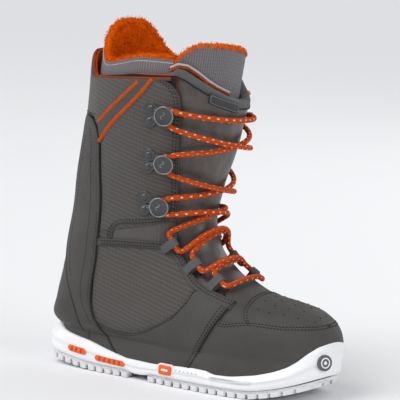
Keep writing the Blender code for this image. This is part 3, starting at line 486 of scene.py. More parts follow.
def stitches(runs, pitch=3.3, share=0.66, radius=0.6):
    """Short thread lengths laid along runs of (points, normals)."""
    parts = []
    ring = np.arange(6) * math.pi / 3
    bulge = np.array([0.25, 0.85, 1.0, 0.85, 0.25])
    for points, normals in runs:
        both = even(np.concatenate([points, normals], 1), pitch)
        for a, b in zip(both[:-1], both[1:]):
            t = b[:3] - a[:3]
            length = np.linalg.norm(t)
            if length < 0.5 * pitch:
                continue
            t /= length
            n = a[3:] / np.linalg.norm(a[3:])
            w = np.cross(t, n)
            mid = (a[:3] + b[:3]) / 2
            along = np.linspace(-0.5, 0.5, 5) * length * share
            round_it = np.cos(ring)[:, None] * w + np.sin(ring)[:, None] * n
            verts = np.concatenate([mid + t * s + radius * k * round_it - n * 0.35 * radius * (1 - k)
                                    for s, k in zip(along, bulge)])
            parts.append((verts, capped_faces(5, 6), np.zeros((30, 2))))
    return joined(parts)


# ---- materials --------------------------------------------------------------------------------------
class Look:
    """Small helper that wires a Principled material from the attributes kept on each mesh."""

    def __init__(self, name, colour, rough, metal=0.0, sheen=0.0, specular=0.5):
        self.mat = bpy.data.materials.new(name)
        self.mat.use_nodes = True
        self.tree = self.mat.node_tree
        self.shader = self.tree.nodes["Principled BSDF"]
        self.shader.inputs["Base Color"].default_value = (*colour, 1.0)
        self.shader.inputs["Roughness"].default_value = rough
        self.shader.inputs["Metallic"].default_value = metal
        self.shader.inputs["Sheen Weight"].default_value = sheen
        self.shader.inputs["Specular IOR Level"].default_value = specular
        self.colour = colour

    def node(self, kind, **inputs):
        n = self.tree.nodes.new(kind)
        for key, value in inputs.items():
            socket = n.inputs[key if not key.startswith("i") or not key[1:].isdigit() else int(key[1:])]
            if isinstance(value, bpy.types.NodeSocket):
                self.tree.links.new(value, socket)
            else:
                socket.default_value = value
        return n

    def at(self, name="rest"):
        n = self.node("ShaderNodeAttribute")
        n.attribute_name = name
        return n.outputs["Vector"]

    def scaled(self, vector, by):
        n = self.node("ShaderNodeVectorMath", i0=vector, i1=by)
        n.operation = "MULTIPLY"
        return n.outputs[0]

    def noise(self, vector, scale, detail=3.0, rough=0.55):
        return self.node("ShaderNodeTexNoise", Vector=vector, Scale=scale, Detail=detail,
                         Roughness=rough).outputs["Fac"]

    def cells(self, vector, scale, edge=False):
        n = self.node("ShaderNodeTexVoronoi", Vector=vector, Scale=scale)
        if edge:
            n.feature = "DISTANCE_TO_EDGE"
        return n.outputs["Distance"]

    def math(self, op, a, b=0.0):
        n = self.node("ShaderNodeMath", i0=a, i1=b)
        n.operation = op
        return n.outputs[0]

    def axis(self, vector, k):
        return self.node("ShaderNodeSeparateXYZ", i0=vector).outputs[k]

    def lines(self, value, pitch, width):
        """1 on thin lines a pitch apart, 0 between them."""
        turn = self.math("FRACT", self.math("MULTIPLY", value, 1.0 / pitch))
        off = self.math("ABSOLUTE", self.math("SUBTRACT", turn, 0.5))
        return self.ramp(off, [(0.5 * width / pitch, 1.0), (width / pitch, 0.0)])

    def wave(self, value, pitch):
        return self.math("SINE", self.math("MULTIPLY", value, 2 * math.pi / pitch))

    def ramp(self, value, stops):
        n = self.node("ShaderNodeValToRGB", Fac=value)
        ramp = n.color_ramp
        while len(ramp.elements) < len(stops):
            ramp.elements.new(0.5)
        for e, (at, v) in zip(ramp.elements, stops):
            e.position = at
            e.color = (v, v, v, 1.0) if isinstance(v, float) else (*v, 1.0)
        return n.outputs["Color"]

    def mix(self, factor, a, b):
        n = self.tree.nodes.new("ShaderNodeMix")
        n.data_type = "RGBA"
        for k, value in ((0, factor), (6, a), (7, b)):
            if isinstance(value, bpy.types.NodeSocket):
                self.tree.links.new(value, n.inputs[k])
            else:
                n.inputs[k].default_value = value if k == 0 else (*value, 1.0)
        return n.outputs[2]

    def paint(self, colour):
        self.tree.links.new(colour, self.shader.inputs["Base Color"])
        return self

    def rough(self, value):
        self.tree.links.new(value, self.shader.inputs["Roughness"])
        return self

    def bump(self, height, distance, strength=1.0):
        last = self.shader.inputs["Normal"]
        n = self.node("ShaderNodeBump", Height=height, Distance=distance * 0.001, Strength=strength)
        if last.links:
            self.tree.links.new(last.links[0].from_socket, n.inputs["Normal"])
        self.tree.links.new(n.outputs["Normal"], last)
        return self


def tint(colour, k):
    return tuple(min(1.0, c * k) for c in colour)


def leather(name, colour, grain=1.0):
    m = Look(name, colour, 0.55, specular=0.28)
    p = m.at()
    cloud = m.noise(p, 0.035, 4.0)
    pores = m.cells(p, 1.15 * grain, edge=True)
    fine = m.noise(p, 2.2 * grain, 2.0)
    base = m.mix(m.ramp(cloud, [(0.3, 0.0), (0.7, 1.0)]), tint(colour, 0.88), tint(colour, 1.12))
    m.paint(m.mix(m.ramp(pores, [(0.0, 1.0), (0.12, 0.0)]), base, tint(colour, 0.72)))
    m.rough(m.ramp(m.noise(p, 0.5, 3.0), [(0.3, 0.48), (0.7, 0.62)]))
    m.bump(m.ramp(pores, [(0.0, 0.0), (0.2, 1.0)]), 0.07)
    m.bump(fine, 0.06)
    return m.mat


def ripstop(name, colour):
    m = Look(name, colour, 0.6, sheen=0.12, specular=0.3)
    p = m.at()
    across = m.axis(p, 0)
    up = m.math("ADD", m.axis(p, 2), m.math("MULTIPLY", across, 0.28))
    wobble = m.math("MULTIPLY", m.noise(p, 0.05, 2.0), 1.6)
    rows = m.lines(m.math("ADD", up, wobble), 4.3, 1.0)
    cols = m.lines(across, 3.7, 0.7)
    weave = m.math("MULTIPLY", m.wave(across, 0.75), m.wave(up, 0.75))
    patch = m.ramp(m.noise(p, 0.03, 3.0), [(0.35, 0.0), (0.65, 1.0)])
    base = m.mix(patch, tint(colour, 0.88), tint(colour, 1.14))
    base = m.mix(m.math("MULTIPLY", cols, 0.25), base, tint(colour, 1.9))
    base = m.mix(m.math("MULTIPLY", rows, 0.8), base, tint(colour, 2.5))
    m.paint(m.mix(m.ramp(weave, [(0.0, 1.0), (0.5, 0.0)]), base, tint(colour, 0.8)))
    m.bump(m.math("ADD", rows, m.math("MULTIPLY", cols, 0.5)), 0.22)
    m.bump(weave, 0.1)
    return m.mat


def satin(name, colour):
    m = Look(name, colour, 0.4, specular=0.6)
    p = m.at()
    # painted sheen: long vertical streaks, lighter and darker, in the base colour stand in for the satin's sheen
    painted_sheen_streak = m.noise(m.scaled(p, (0.02, 0.02, 0.012)), 4.0, 5.0)
    thread = m.noise(m.scaled(p, (1.0, 1.0, 0.07)), 1.4, 2.0)
    m.paint(m.mix(m.ramp(painted_sheen_streak, [(0.3, 0.0), (0.7, 1.0)]), tint(colour, 0.66), tint(colour, 1.5)))
    m.rough(m.ramp(m.noise(p, 0.05, 3.0), [(0.3, 0.30), (0.7, 0.46)]))
    m.bump(m.noise(m.scaled(p, (1.0, 1.0, 0.4)), 0.06, 3.0), 1.6, 0.5)
    m.bump(thread, 0.09)
    return m.mat


def knit(name, colour, pitch, deep=0.35, dark=0.55):
    """Spacer mesh: small diamonds with dark openings."""
    m = Look(name, colour, 0.72, sheen=0.12, specular=0.25)
    c, p = m.at("cloth"), m.at()
    u, v = m.axis(c, 0), m.axis(c, 1)
    one, two = m.wave(m.math("ADD", u, v), pitch), m.wave(m.math("SUBTRACT", u, v), pitch)
    cell = m.math("MULTIPLY", one, two)
    hole = m.ramp(cell, [(0.1, 0.0), (0.75, 1.0)])
    base = m.mix(m.noise(p, 0.05, 3.0), tint(colour, 0.85), tint(colour, 1.15))
    m.paint(m.mix(hole, base, tint(colour, dark)))
    m.bump(cell, -deep)
    m.bump(m.noise(p, 2.4, 2.0), 0.1)
    return m.mat


def fleece(name, colour):
    m = Look(name, colour, 0.95, specular=0.05)
    p = m.at()
    clump = m.noise(p, 0.35, 4.0, 0.7)
    m.paint(m.mix(m.ramp(clump, [(0.3, 0.0), (0.7, 1.0)]), tint(colour, 0.75), tint(colour, 1.1)))
    m.bump(m.noise(p, 1.1, 4.0, 0.7), 1.2)
    m.bump(clump, 1.5)
    return m.mat


def cloth(name, colour, pitch=0.8, rough=0.8, deep=0.12):
    """Plain woven cloth or webbing."""
    m = Look(name, colour, rough, specular=0.2)
    c, p = m.at("cloth"), m.at()
    weave = m.math("MULTIPLY", m.wave(m.axis(c, 0), pitch), m.wave(m.axis(c, 1), pitch))
    base = m.mix(m.noise(p, 0.08, 3.0), tint(colour, 0.84), tint(colour, 1.16))
    m.paint(m.mix(m.ramp(weave, [(0.0, 0.6), (0.6, 0.0)]), base, tint(colour, 0.7)))
    m.bump(weave, deep)
    m.bump(m.noise(p, 1.6, 2.0), 0.08)
    return m.mat


def ribbed(name, colour, pitch):
    m = Look(name, colour, 0.75, specular=0.2)
    c, p = m.at("cloth"), m.at()
    rib = m.wave(m.axis(c, 1), pitch)
    base = m.mix(m.noise(p, 0.1, 3.0), tint(colour, 0.8), tint(colour, 1.2))
    m.paint(m.mix(m.ramp(rib, [(0.2, 1.0), (0.7, 0.0)]), base, tint(colour, 0.6)))
    m.bump(rib, 0.3)
    m.bump(m.noise(p, 1.8, 2.0), 0.12)
    return m.mat


def moulded(name, colour, rough, grain=0.35, wear=0.06):
    """Moulded foam or rubber with a fine skin and faint scuffs."""
    m = Look(name, colour, rough, specular=0.45)
    p = m.at()
    scuff = m.noise(m.scaled(p, (1.0, 1.0, 2.5)), 0.06, 5.0, 0.65)
    m.paint(m.mix(m.ramp(scuff, [(0.45, 0.0), (0.75, 1.0)]), colour, tint(colour, 1.0 - wear)))
    m.rough(m.ramp(m.noise(p, 0.3, 3.0), [(0.3, rough - 0.08), (0.7, rough + 0.08)]))
    m.bump(m.noise(p, 1.3, 3.0), 0.08 * grain)
    m.bump(m.cells(p, 0.7), 0.1 * grain)
    return m.mat


def metal(name, colour):
    m = Look(name, colour, 0.35, metal=0.85)
    p = m.at()
    m.rough(m.ramp(m.noise(m.scaled(p, (1.0, 1.0, 3.0)), 0.5, 4.0), [(0.3, 0.28), (0.7, 0.45)]))
    m.paint(m.mix(m.noise(p, 0.3, 3.0), tint(colour, 0.8), tint(colour, 1.25)))
    m.bump(m.noise(p, 2.0, 2.0), 0.03)
    return m.mat


def lace_look(name, colour, fleck):
    """Round braided lace with paired pale flecks."""
    m = Look(name, colour, 0.7, specular=0.12)
    c = m.at("cloth")
    along, turn = m.axis(c, 0), m.math("MULTIPLY", m.axis(c, 1), 1.0 / 360.0)
    spin = m.math("MULTIPLY", along, 0.17)
    one_way, other_way = m.math("ADD", turn, spin), m.math("SUBTRACT", turn, spin)
    braid = m.math("MULTIPLY", m.wave(one_way, 0.125), m.wave(other_way, 0.125))
    one = m.lines(m.math("ADD", along, m.math("MULTIPLY", turn, 18.0)), 9.0, 0.8)
    shifted = m.math("SUBTRACT", along, 2.0)
    two = m.lines(m.math("SUBTRACT", shifted, m.math("MULTIPLY", turn, 18.0)), 9.0, 0.8)
    gate = m.ramp(m.math("FRACT", m.math("MULTIPLY", turn, 4.0)), [(0.58, 0.0), (0.66, 1.0)])
    spots = m.math("MULTIPLY", m.math("MAXIMUM", one, two), gate)
    base = m.mix(m.ramp(braid, [(0.2, 1.0), (0.8, 0.0)]), colour, tint(colour, 0.72))
    m.paint(m.mix(spots, base, fleck))
    m.bump(braid, 0.28)
    return m.mat


DARK = (0.064, 0.060, 0.057)
ORANGE = (1.0, 0.150, 0.004)
LEATHER = leather("leather", DARK)
LEATHER_TOE = leather("leather_toe", tint(DARK, 1.02))
RIPSTOP = ripstop("ripstop", (0.074, 0.067, 0.061))
GUSSET = cloth("gusset_cloth", (0.125, 0.117, 0.110), 0.9)
BASE = cloth("base_cloth", (0.022, 0.021, 0.020), 0.9)
SATIN = satin("satin", (0.060, 0.050, 0.044))
BINDING = knit("binding_mesh", (0.125, 0.123, 0.126), 2.1, 0.3, 0.35)
MESH = knit("liner_mesh", (0.185, 0.175, 0.185), 2.8, 0.3, 0.36)
FLEECE = fleece("fleece", ORANGE)
LINING = cloth("lining_cloth", (0.92, 0.125, 0.004), 0.9)
EDGING = ribbed("orange_edging", (0.95, 0.125, 0.006), 1.4)
# black for the piping, perforations and toe tab, and for the painted shadow line along each quarter's front edge
BLACK_PIPING_AND_SHADOW = moulded("black_piping_and_painted_shadow", (0.006, 0.006, 0.006), 0.6)
THREAD = moulded("black_thread", (0.004, 0.004, 0.004), 0.75)
GREY_THREAD = moulded("grey_thread", (0.40, 0.39, 0.39), 0.6)
TAPE = ribbed("grey_tape", (0.135, 0.130, 0.126), 1.1)
LABEL = moulded("dark_label", (0.03, 0.03, 0.032), 0.6)
FOAM = moulded("white_foam", (0.84, 0.84, 0.86), 0.45, 0.5, 0.05)
# white rubber made greyer than the white foam: the grey is painted shade on the tread
SHADED_RUBBER = moulded("white_rubber", (0.74, 0.74, 0.76), 0.55, 0.9, 0.12)
ORANGE_FOAM = moulded("orange_foam", (0.84, 0.115, 0.012), 0.45)
# half-bright copy of the orange foam, used only for painted shade in the insert slots
SLOT_SHADE_ORANGE = moulded("dark_orange_foam", (0.42, 0.05, 0.01), 0.5)
GREY_RUBBER = moulded("grey_rubber", (0.10, 0.10, 0.105), 0.5)
METAL = metal("gunmetal", (0.085, 0.086, 0.088))
BRIGHT_METAL = metal("rim_gunmetal", (0.26, 0.26, 0.255))
WEBBING = ribbed("webbing", (0.155, 0.155, 0.160), 1.5)
LACE = lace_look("lace_cord", (1.0, 0.115, 0.003), (0.98, 0.88, 0.80))
FOOTBED = cloth("footbed_cloth", (0.05, 0.05, 0.055), 0.9)
BOARD = moulded("board", (0.45, 0.40, 0.33), 0.8)


# ---- the sole ------------------------------------------------------------------------------------
SOLE_LATERAL = smooth([(-14, 1.0), (-11, 18), (0, 30), (25, 38), (60, 43), (95, 46), (130, 50), (165, 54),
                       (205, 57), (240, 54), (270, 43), (292, 27), (303, 10), (305, -2)], 200)
SOLE_MEDIAL = smooth([(-14, 1.0), (-11, 18), (0, 31), (25, 38), (60, 41), (95, 42), (130, 43), (165, 46),
                      (205, 49), (240, 52), (270, 46), (292, 31), (303, 14), (305, -2)], 200)
RIM = np.array([(-14, 40.5), (10, 35), (43, 30), (70, 23.8), (95, 19), (130, 18.5), (155, 20.5), (180, 22),
                (194, 21.5), (202, 19), (220, 19.5), (245, 23.5), (262, 28), (275, 33), (284, 39), (291, 47),
                (298, 53), (306, 56.5)], float)
CAD_RIM = 39.0  # below this height the upper drops straight down to the lower rim drawn here


def half_width(x, side):
    curve = SOLE_LATERAL if side < 0 else SOLE_MEDIAL
    return np.interp(x, curve[:, 0], curve[:, 1])


def spring(x):
    """Height of the bottom of the sole above the ground."""
    return 17.0 * np.clip((x - 232.0) / 72.0, 0, 1) ** 1.7 + 7.0 * np.clip((58.0 - x) / 72.0, 0, 1) ** 1.4


def rim_height(x):
    return np.interp(x, RIM[:, 0], RIM[:, 1])


def floor_height(x):
    curve = smooth(BACK)
    low = curve[curve[:, 1] < 44]
    order = np.argsort(low[:, 0])
    return np.interp(x, low[order, 0], low[order, 1])


def sole_ring(xs, grow, z):
    lat = np.stack([xs, -(half_width(xs, -1) + grow), z], -1)
    med = np.stack([xs, half_width(xs, 1) + grow, z], -1)
    for ring in (lat, med):
        ends = np.clip(np.abs(ring[:, 0] - 147) / 150, 0, 1) ** 4
        ring[:, 0] += np.sign(ring[:, 0] - 155.0) * grow * ends
    return np.concatenate([lat, med[::-1]])


def last_ring(xs, depth, z):
    ring = sole_ring(xs, 0.0, z)
    origin = np.stack([np.clip(ring[:, 0], 38.0, 252.0), np.zeros(len(ring)), ring[:, 2]], -1)
    direction = ring - origin
    direction[:, 2] = 0.0
    direction /= np.linalg.norm(direction, axis=1)[:, None]
    return cast(origin, direction, depth)


def lofted(rings):
    """A closed solid through rings of equal length, capped from side to side."""
    count, half = len(rings[0]), len(rings[0]) // 2
    faces = wall_faces(len(rings), count)
    for base in (0, (len(rings) - 1) * count):
        faces += [(base + j, base + j + 1, base + count - 2 - j, base + count - 1 - j) for j in range(half - 1)]
    verts = np.concatenate(rings)
    return verts, faces, np.zeros((len(verts), 2))


def wall_point(x, side, z, out=1.2):
    return np.array([x, side * (half_width(x, side) + out), z])


def block(corners, low, high, lean):
    """A moulded lug on a four-cornered plan with cut corners, narrower at the ground."""
    c = np.array(corners, float)
    mid = c.mean(0)
    cut = 0.12
    plan = np.array([c[k] * (1 - cut) + c[(k + way) % 4] * cut for k in range(4) for way in (-1, 1)])
    rings = []
    for share, size in ((0.0, 1 - lean), (0.14, 1 - lean * 0.45), (1.0, 1.0)):
        p = mid + (plan - mid) * size
        z = low(p[:, 0]) * (1 - share) + high(p[:, 0]) * share
        rings.append(np.stack([p[:, 0], p[:, 1], z], -1))
    verts = np.concatenate(rings)
    return verts, capped_faces(3, 8), np.zeros((24, 2))


def outsole(name, x0, x1, count):
    """A rubber pod: a base skin with rows of lugs, the outer row standing at the edge."""
    xs = np.linspace(x0, x1, 60)
    rings = []
    for grow, z in ((-3.4, spring(xs) + 3.4), (-2.6, spring(xs) + 3.8), (-2.6, spring(xs) + 7.2)):
        lat = np.stack([xs, -(half_width(xs, -1) + grow), z], -1)
        med = np.stack([xs, half_width(xs, 1) + grow, z], -1)
        rings.append(np.concatenate([lat, med[::-1]]))
    parts = [lofted(rings)]
    pitch = (x1 - x0) / count
    for i in range(count):
        a, b = x0 + i * pitch + 1.1, x0 + (i + 1) * pitch - 1.1
        for side in (-1, 1):
            wa, wb = half_width(a, side), half_width(b, side)
            deep = 9.0 + 2.0 * (i % 2)
            plan = [(a, side * (wa - deep)), (b, side * (wb - deep)), (b, side * (wb - 0.3)),
                    (a, side * (wa - 0.3))]
            parts.append(block(plan, spring, lambda x: spring(x) + 5.0, 0.10))
            ia, ib = max(wa - 14.5, 3.0), max(wb - 14.5, 3.0)
            turn = 3.0 if i % 2 else -3.0
            plan = [(a + turn, side * 2.2), (b + turn, side * 2.2), (b, side * ib), (a, side * ia)]
            if min(ia, ib) > 6.0:
                parts.append(block(plan, spring, lambda x: spring(x) + 4.2, 0.12))
    # the outsole's grey rubber colour is painted shade on the tread
    fit(name, joined(parts), SHADED_RUBBER, FOOT, [name], 30)


def plate(centre, facing, up, width, height, radius, thick, dome=0.0):
    """A rounded plate standing on a surface, with an eased edge."""
    n = np.array(facing, float) / np.linalg.norm(facing)
    u = np.array(up, float) - n * np.dot(up, n)
    u /= np.linalg.norm(u)
    r = np.cross(u, n)
    turns = np.linspace(0, 2 * math.pi, 33)[:-1]
    rings = []
    steps = ((0.0, -1.2), (0.0, thick - 0.35), (0.35, thick), (max(radius * 0.55, 0.8), thick + dome))
    for inset, h in steps:
        w, t, k = width / 2 - radius, height / 2 - radius, radius - inset
        rings.append([np.array(centre) + n * h + r * (np.sign(math.cos(a)) * w + k * math.cos(a))
                      + u * (np.sign(math.sin(a)) * t + k * math.sin(a)) for a in turns])
    verts = np.concatenate([np.array(g) for g in rings])
    return verts, capped_faces(len(rings), len(turns)), np.zeros((len(verts), 2))


def wall_strip(x0, x1, z0, z1, side, thick, count=12):
    """A pill-shaped strip following the sole wall."""
    xs = np.linspace(x0, x1, count * 3)
    zc = np.interp(xs, [x0, x1], [(z0 + z1) / 2 + 0.8, (z0 + z1) / 2 - 0.8])
    half = (z1 - z0) / 2
    end = np.minimum(xs - x0, x1 - xs)
    tall = half * np.sqrt(np.clip(1 - (1 - np.clip(end / half, 0, 1)) ** 2, 0.02, 1))
    rings = []
    for x, c, h in zip(xs, zc, tall):
        ring = []
        for a in np.linspace(0, 2 * math.pi, 13)[:-1]:
            ring.append(wall_point(x, side, c + h * math.sin(a), 0.6 + thick * max(0.0, math.cos(a)) ** 0.6
                                   + (-1.0 if math.cos(a) < -0.1 else 0.0)))
        rings.append(np.array(ring))
    verts = np.concatenate(rings)
    return verts, capped_faces(len(rings), 12), np.zeros((len(verts), 2))


def build_sole():
    outsole("outsole_heel", -6.0, 99.0, 10)
    outsole("outsole_forefoot", 122.0, 292.0, 16)
    u = (1 - np.cos(np.linspace(0.05, 0.988, 90) * math.pi)) / 2
    xs = -13.6 + u * 318.2
    both = np.concatenate([xs, xs[::-1]])
    arch = np.clip((xs - 97) / 6, 0, 1) * np.clip((125 - xs) / 6, 0, 1)
    base = spring(xs) + 7.5 + arch * -2.5
    rim = rim_height(xs)
    rings = []
    for grow, share in ((-2.5, 0.0), (-0.9, 0.02), (0.1, 0.08), (0.6, 0.18), (0.5, 0.34), (0.2, 0.46),
                        (0.9, 0.52), (1.2, 0.58)):
        rings.append(sole_ring(xs, grow, base + (rim - base) * share))
    waist = sole_ring(xs, 1.2, base + (rim - base) * 0.60)
    crest = last_ring(xs, -4.3, np.maximum(rim, CAD_RIM))
    inner = last_ring(xs, -0.9, np.maximum(rim, CAD_RIM))
    for k in (0.25, 0.55, 0.8, 1.0):
        ring = waist * (1 - k) + crest * k
        ring[:, 2] = waist[:, 2] + (np.concatenate([rim, rim[::-1]]) - 1.3 - waist[:, 2]) * min(1.0, k * 1.02)
        rings.append(ring)
    for k, drop in ((0.12, 0.5), (0.35, 0.05), (0.7, 0.0), (1.0, 0.6)):
        ring = crest * (1 - k) + inner * k
        ring[:, 2] = rim_height(both) - drop
        rings.append(ring)
    floor = inner.copy()
    centre = np.stack([np.clip(floor[:, 0], 30, 262), np.zeros(len(floor)), floor[:, 2]], -1)
    floor[:, :2] = centre[:, :2] + (floor[:, :2] - centre[:, :2]) * 0.96
    floor[:, 2] = np.minimum(floor_height(floor[:, 0]) - 2.6, rim_height(floor[:, 0]) - 2.0)
    rings.append(floor)
    verts, faces, _ = lofted(rings)
    attach(build("midsole", verts, faces, FOAM, sharp=50), FOOT, ["midsole"])
    for tag, side in (("lat", -1), ("med", 1)):
        for label, x0, x1, z0, z1, slot_shade_count in (("rear", 22, 46, 15.0, 22.0, 3),
                                            ("front", 58, 95, 10.6, 16.6, 5)):
            fit(f"insert_{tag}_{label}", wall_strip(x0, x1, z0, z1, side, 1.3), ORANGE_FOAM, FOOT,
                [f"insert_{tag}_{label}"])
            # dark orange marks across each insert: painted shade in its slots
            middle = np.linspace(x0, x1, slot_shade_count + 2)[1:-1]
            zc = np.interp(middle, [x0, x1], [(z0 + z1) / 2 + 0.8, (z0 + z1) / 2 - 0.8])
            parts = [plate(wall_point(x, side, z, 1.5), (0, side, 0), (0.25, 0, 1), 1.9, 4.6, 0.9, 0.9)
                     for x, z in zip(middle, zc)]
            fit(f"insert_bars_{tag}_{label}", joined(parts), SLOT_SHADE_ORANGE, FOOT)
    normal = (0.06, -1.0, 0.04)
    spot = wall_point(147, -1, 15.6, 0.7)
    up = (0.05, 0, 1)
    fit("badge_rim", plate(spot, normal, up, 17.0, 12.0, 3.0, 1.6), FOAM, FOOT)
    fit("side_badge", plate(spot + (0, -1.1, 0), normal, up, 14.2, 9.4, 2.4, 1.4, 0.3), ORANGE_FOAM, FOOT,
        ["side_badge"])
    fit("badge_bar", plate(spot + (0, -2.5, 0), normal, up, 7.5, 2.2, 1.0, 0.7), FOAM, FOOT)
    ticks = [plate(wall_point(x, -1, 17.0, 0.8), (0.04, -1, 0.1), (0.15, 0, 1), 0.9, 2.6, 0.4, 0.7)
             for x in range(159, 188, 5)]
    ribs = [plate(wall_point(x, side, 15.5 + spring(x), 0.5), (0, side, 0.1), (0.3, 0, 1), 0.8, 4.0, 0.35, 0.6)
            for side in (-1, 1) for x in np.arange(200, 244, 1.9)]
    fit("wall_marks", joined(ticks + ribs), FOAM, FOOT)
    build_emblem()


EMBLEM = np.array((302.0, -16.0, 39.0))
EMBLEM_FACING = (0.90, -0.42, 0.10)


def build_emblem():
    n = np.array(EMBLEM_FACING) / np.linalg.norm(EMBLEM_FACING)
    disc = plate(EMBLEM + n * 0.4, n, (0, 0, 1), 15.6, 15.6, 7.79, 1.6)
    fit("toe_emblem", disc, GREY_RUBBER, FOOT, ["toe_emblem"])
    up = np.cross(n, (0, 1, 0))
    side = np.cross(n, up)
    a = np.linspace(0, 2 * math.pi, 49)
    ring = [EMBLEM + n * 2.05 + 4.6 * (math.cos(k) * up / np.linalg.norm(up) + math.sin(k) * side
                                       / np.linalg.norm(side)) for k in a]
    dot = plate(EMBLEM + n * 1.9, n, (0, 0, 1), 3.6, 3.6, 1.79, 0.5)
    fit("emblem_ring", joined([tube(ring, 0.62, 8), dot]), FOAM, FOOT)


# ---- shell layers ------------------------------------------------------------------------------------
def ring_rows(start, top, count):
    k = np.linspace(0, 1, count)[:, None]
    return start + k * (top - start)[None, :]


def build_base():
    """The dark under-layer of the shell with its orange lining."""
    ring_t = np.linspace(THROAT, 360 - THROAT, 65)
    front_t = np.linspace(-THROAT, THROAT, 16)[1:-1] + 360
    t = np.concatenate([ring_t, front_t])
    top = rim_level(t, 1.0, 0.2)
    toe = np.array([4.6, 6, 8, 11, 15, 20, 27, 35, 44, 54, 64, 74, 83])[:, None] + np.zeros(len(t))
    rows = np.concatenate([toe, ring_rows(92.0, top, 64)])
    turn = 180.0 + (t - 180.0) * (1 - np.where(t <= 360.0 - THROAT, 15.0, 0.0)
                                  / (180.0 - THROAT) * ease_step((rows - 118.0) / 60.0))
    back = rows + 3.4 * np.clip((60.0 - rows) / 45.0, 0, 1)
    keep = np.ones((len(rows) - 1, len(t)), bool)
    keep[len(toe) + 1:, len(ring_t) - 1:] = False
    outer, inner = layer(rows, turn, 0.2), layer(back, turn, 3.2)
    obj = sheet("shell_base", outer, inner, (t * 0.95, shaft_height(outer)), [BASE, LINING], keep, True)
    attach(obj, SIDE, ["shell_lining_foot", "shell_lining_cuff"])


def offset_edge(points, by):
    """A side-view curve moved sideways (positive to its right hand)."""
    c = smooth(points, 80)
    t = np.gradient(c, axis=0)
    t /= np.linalg.norm(t, axis=1)[:, None]
    return c + by * np.stack([t[:, 1], -t[:, 0]], -1)


def seam(name, runs, mat, where, **kw):
    fit(name, stitches(runs, **kw), mat, where, sharp=80)


def pipe(name, path, radius, mat, where):
    verts, faces, along = tube(even(np.asarray(path), 1.6), radius, 8)
    return attach(build(name, verts, faces, mat, along, sharp=80), where)


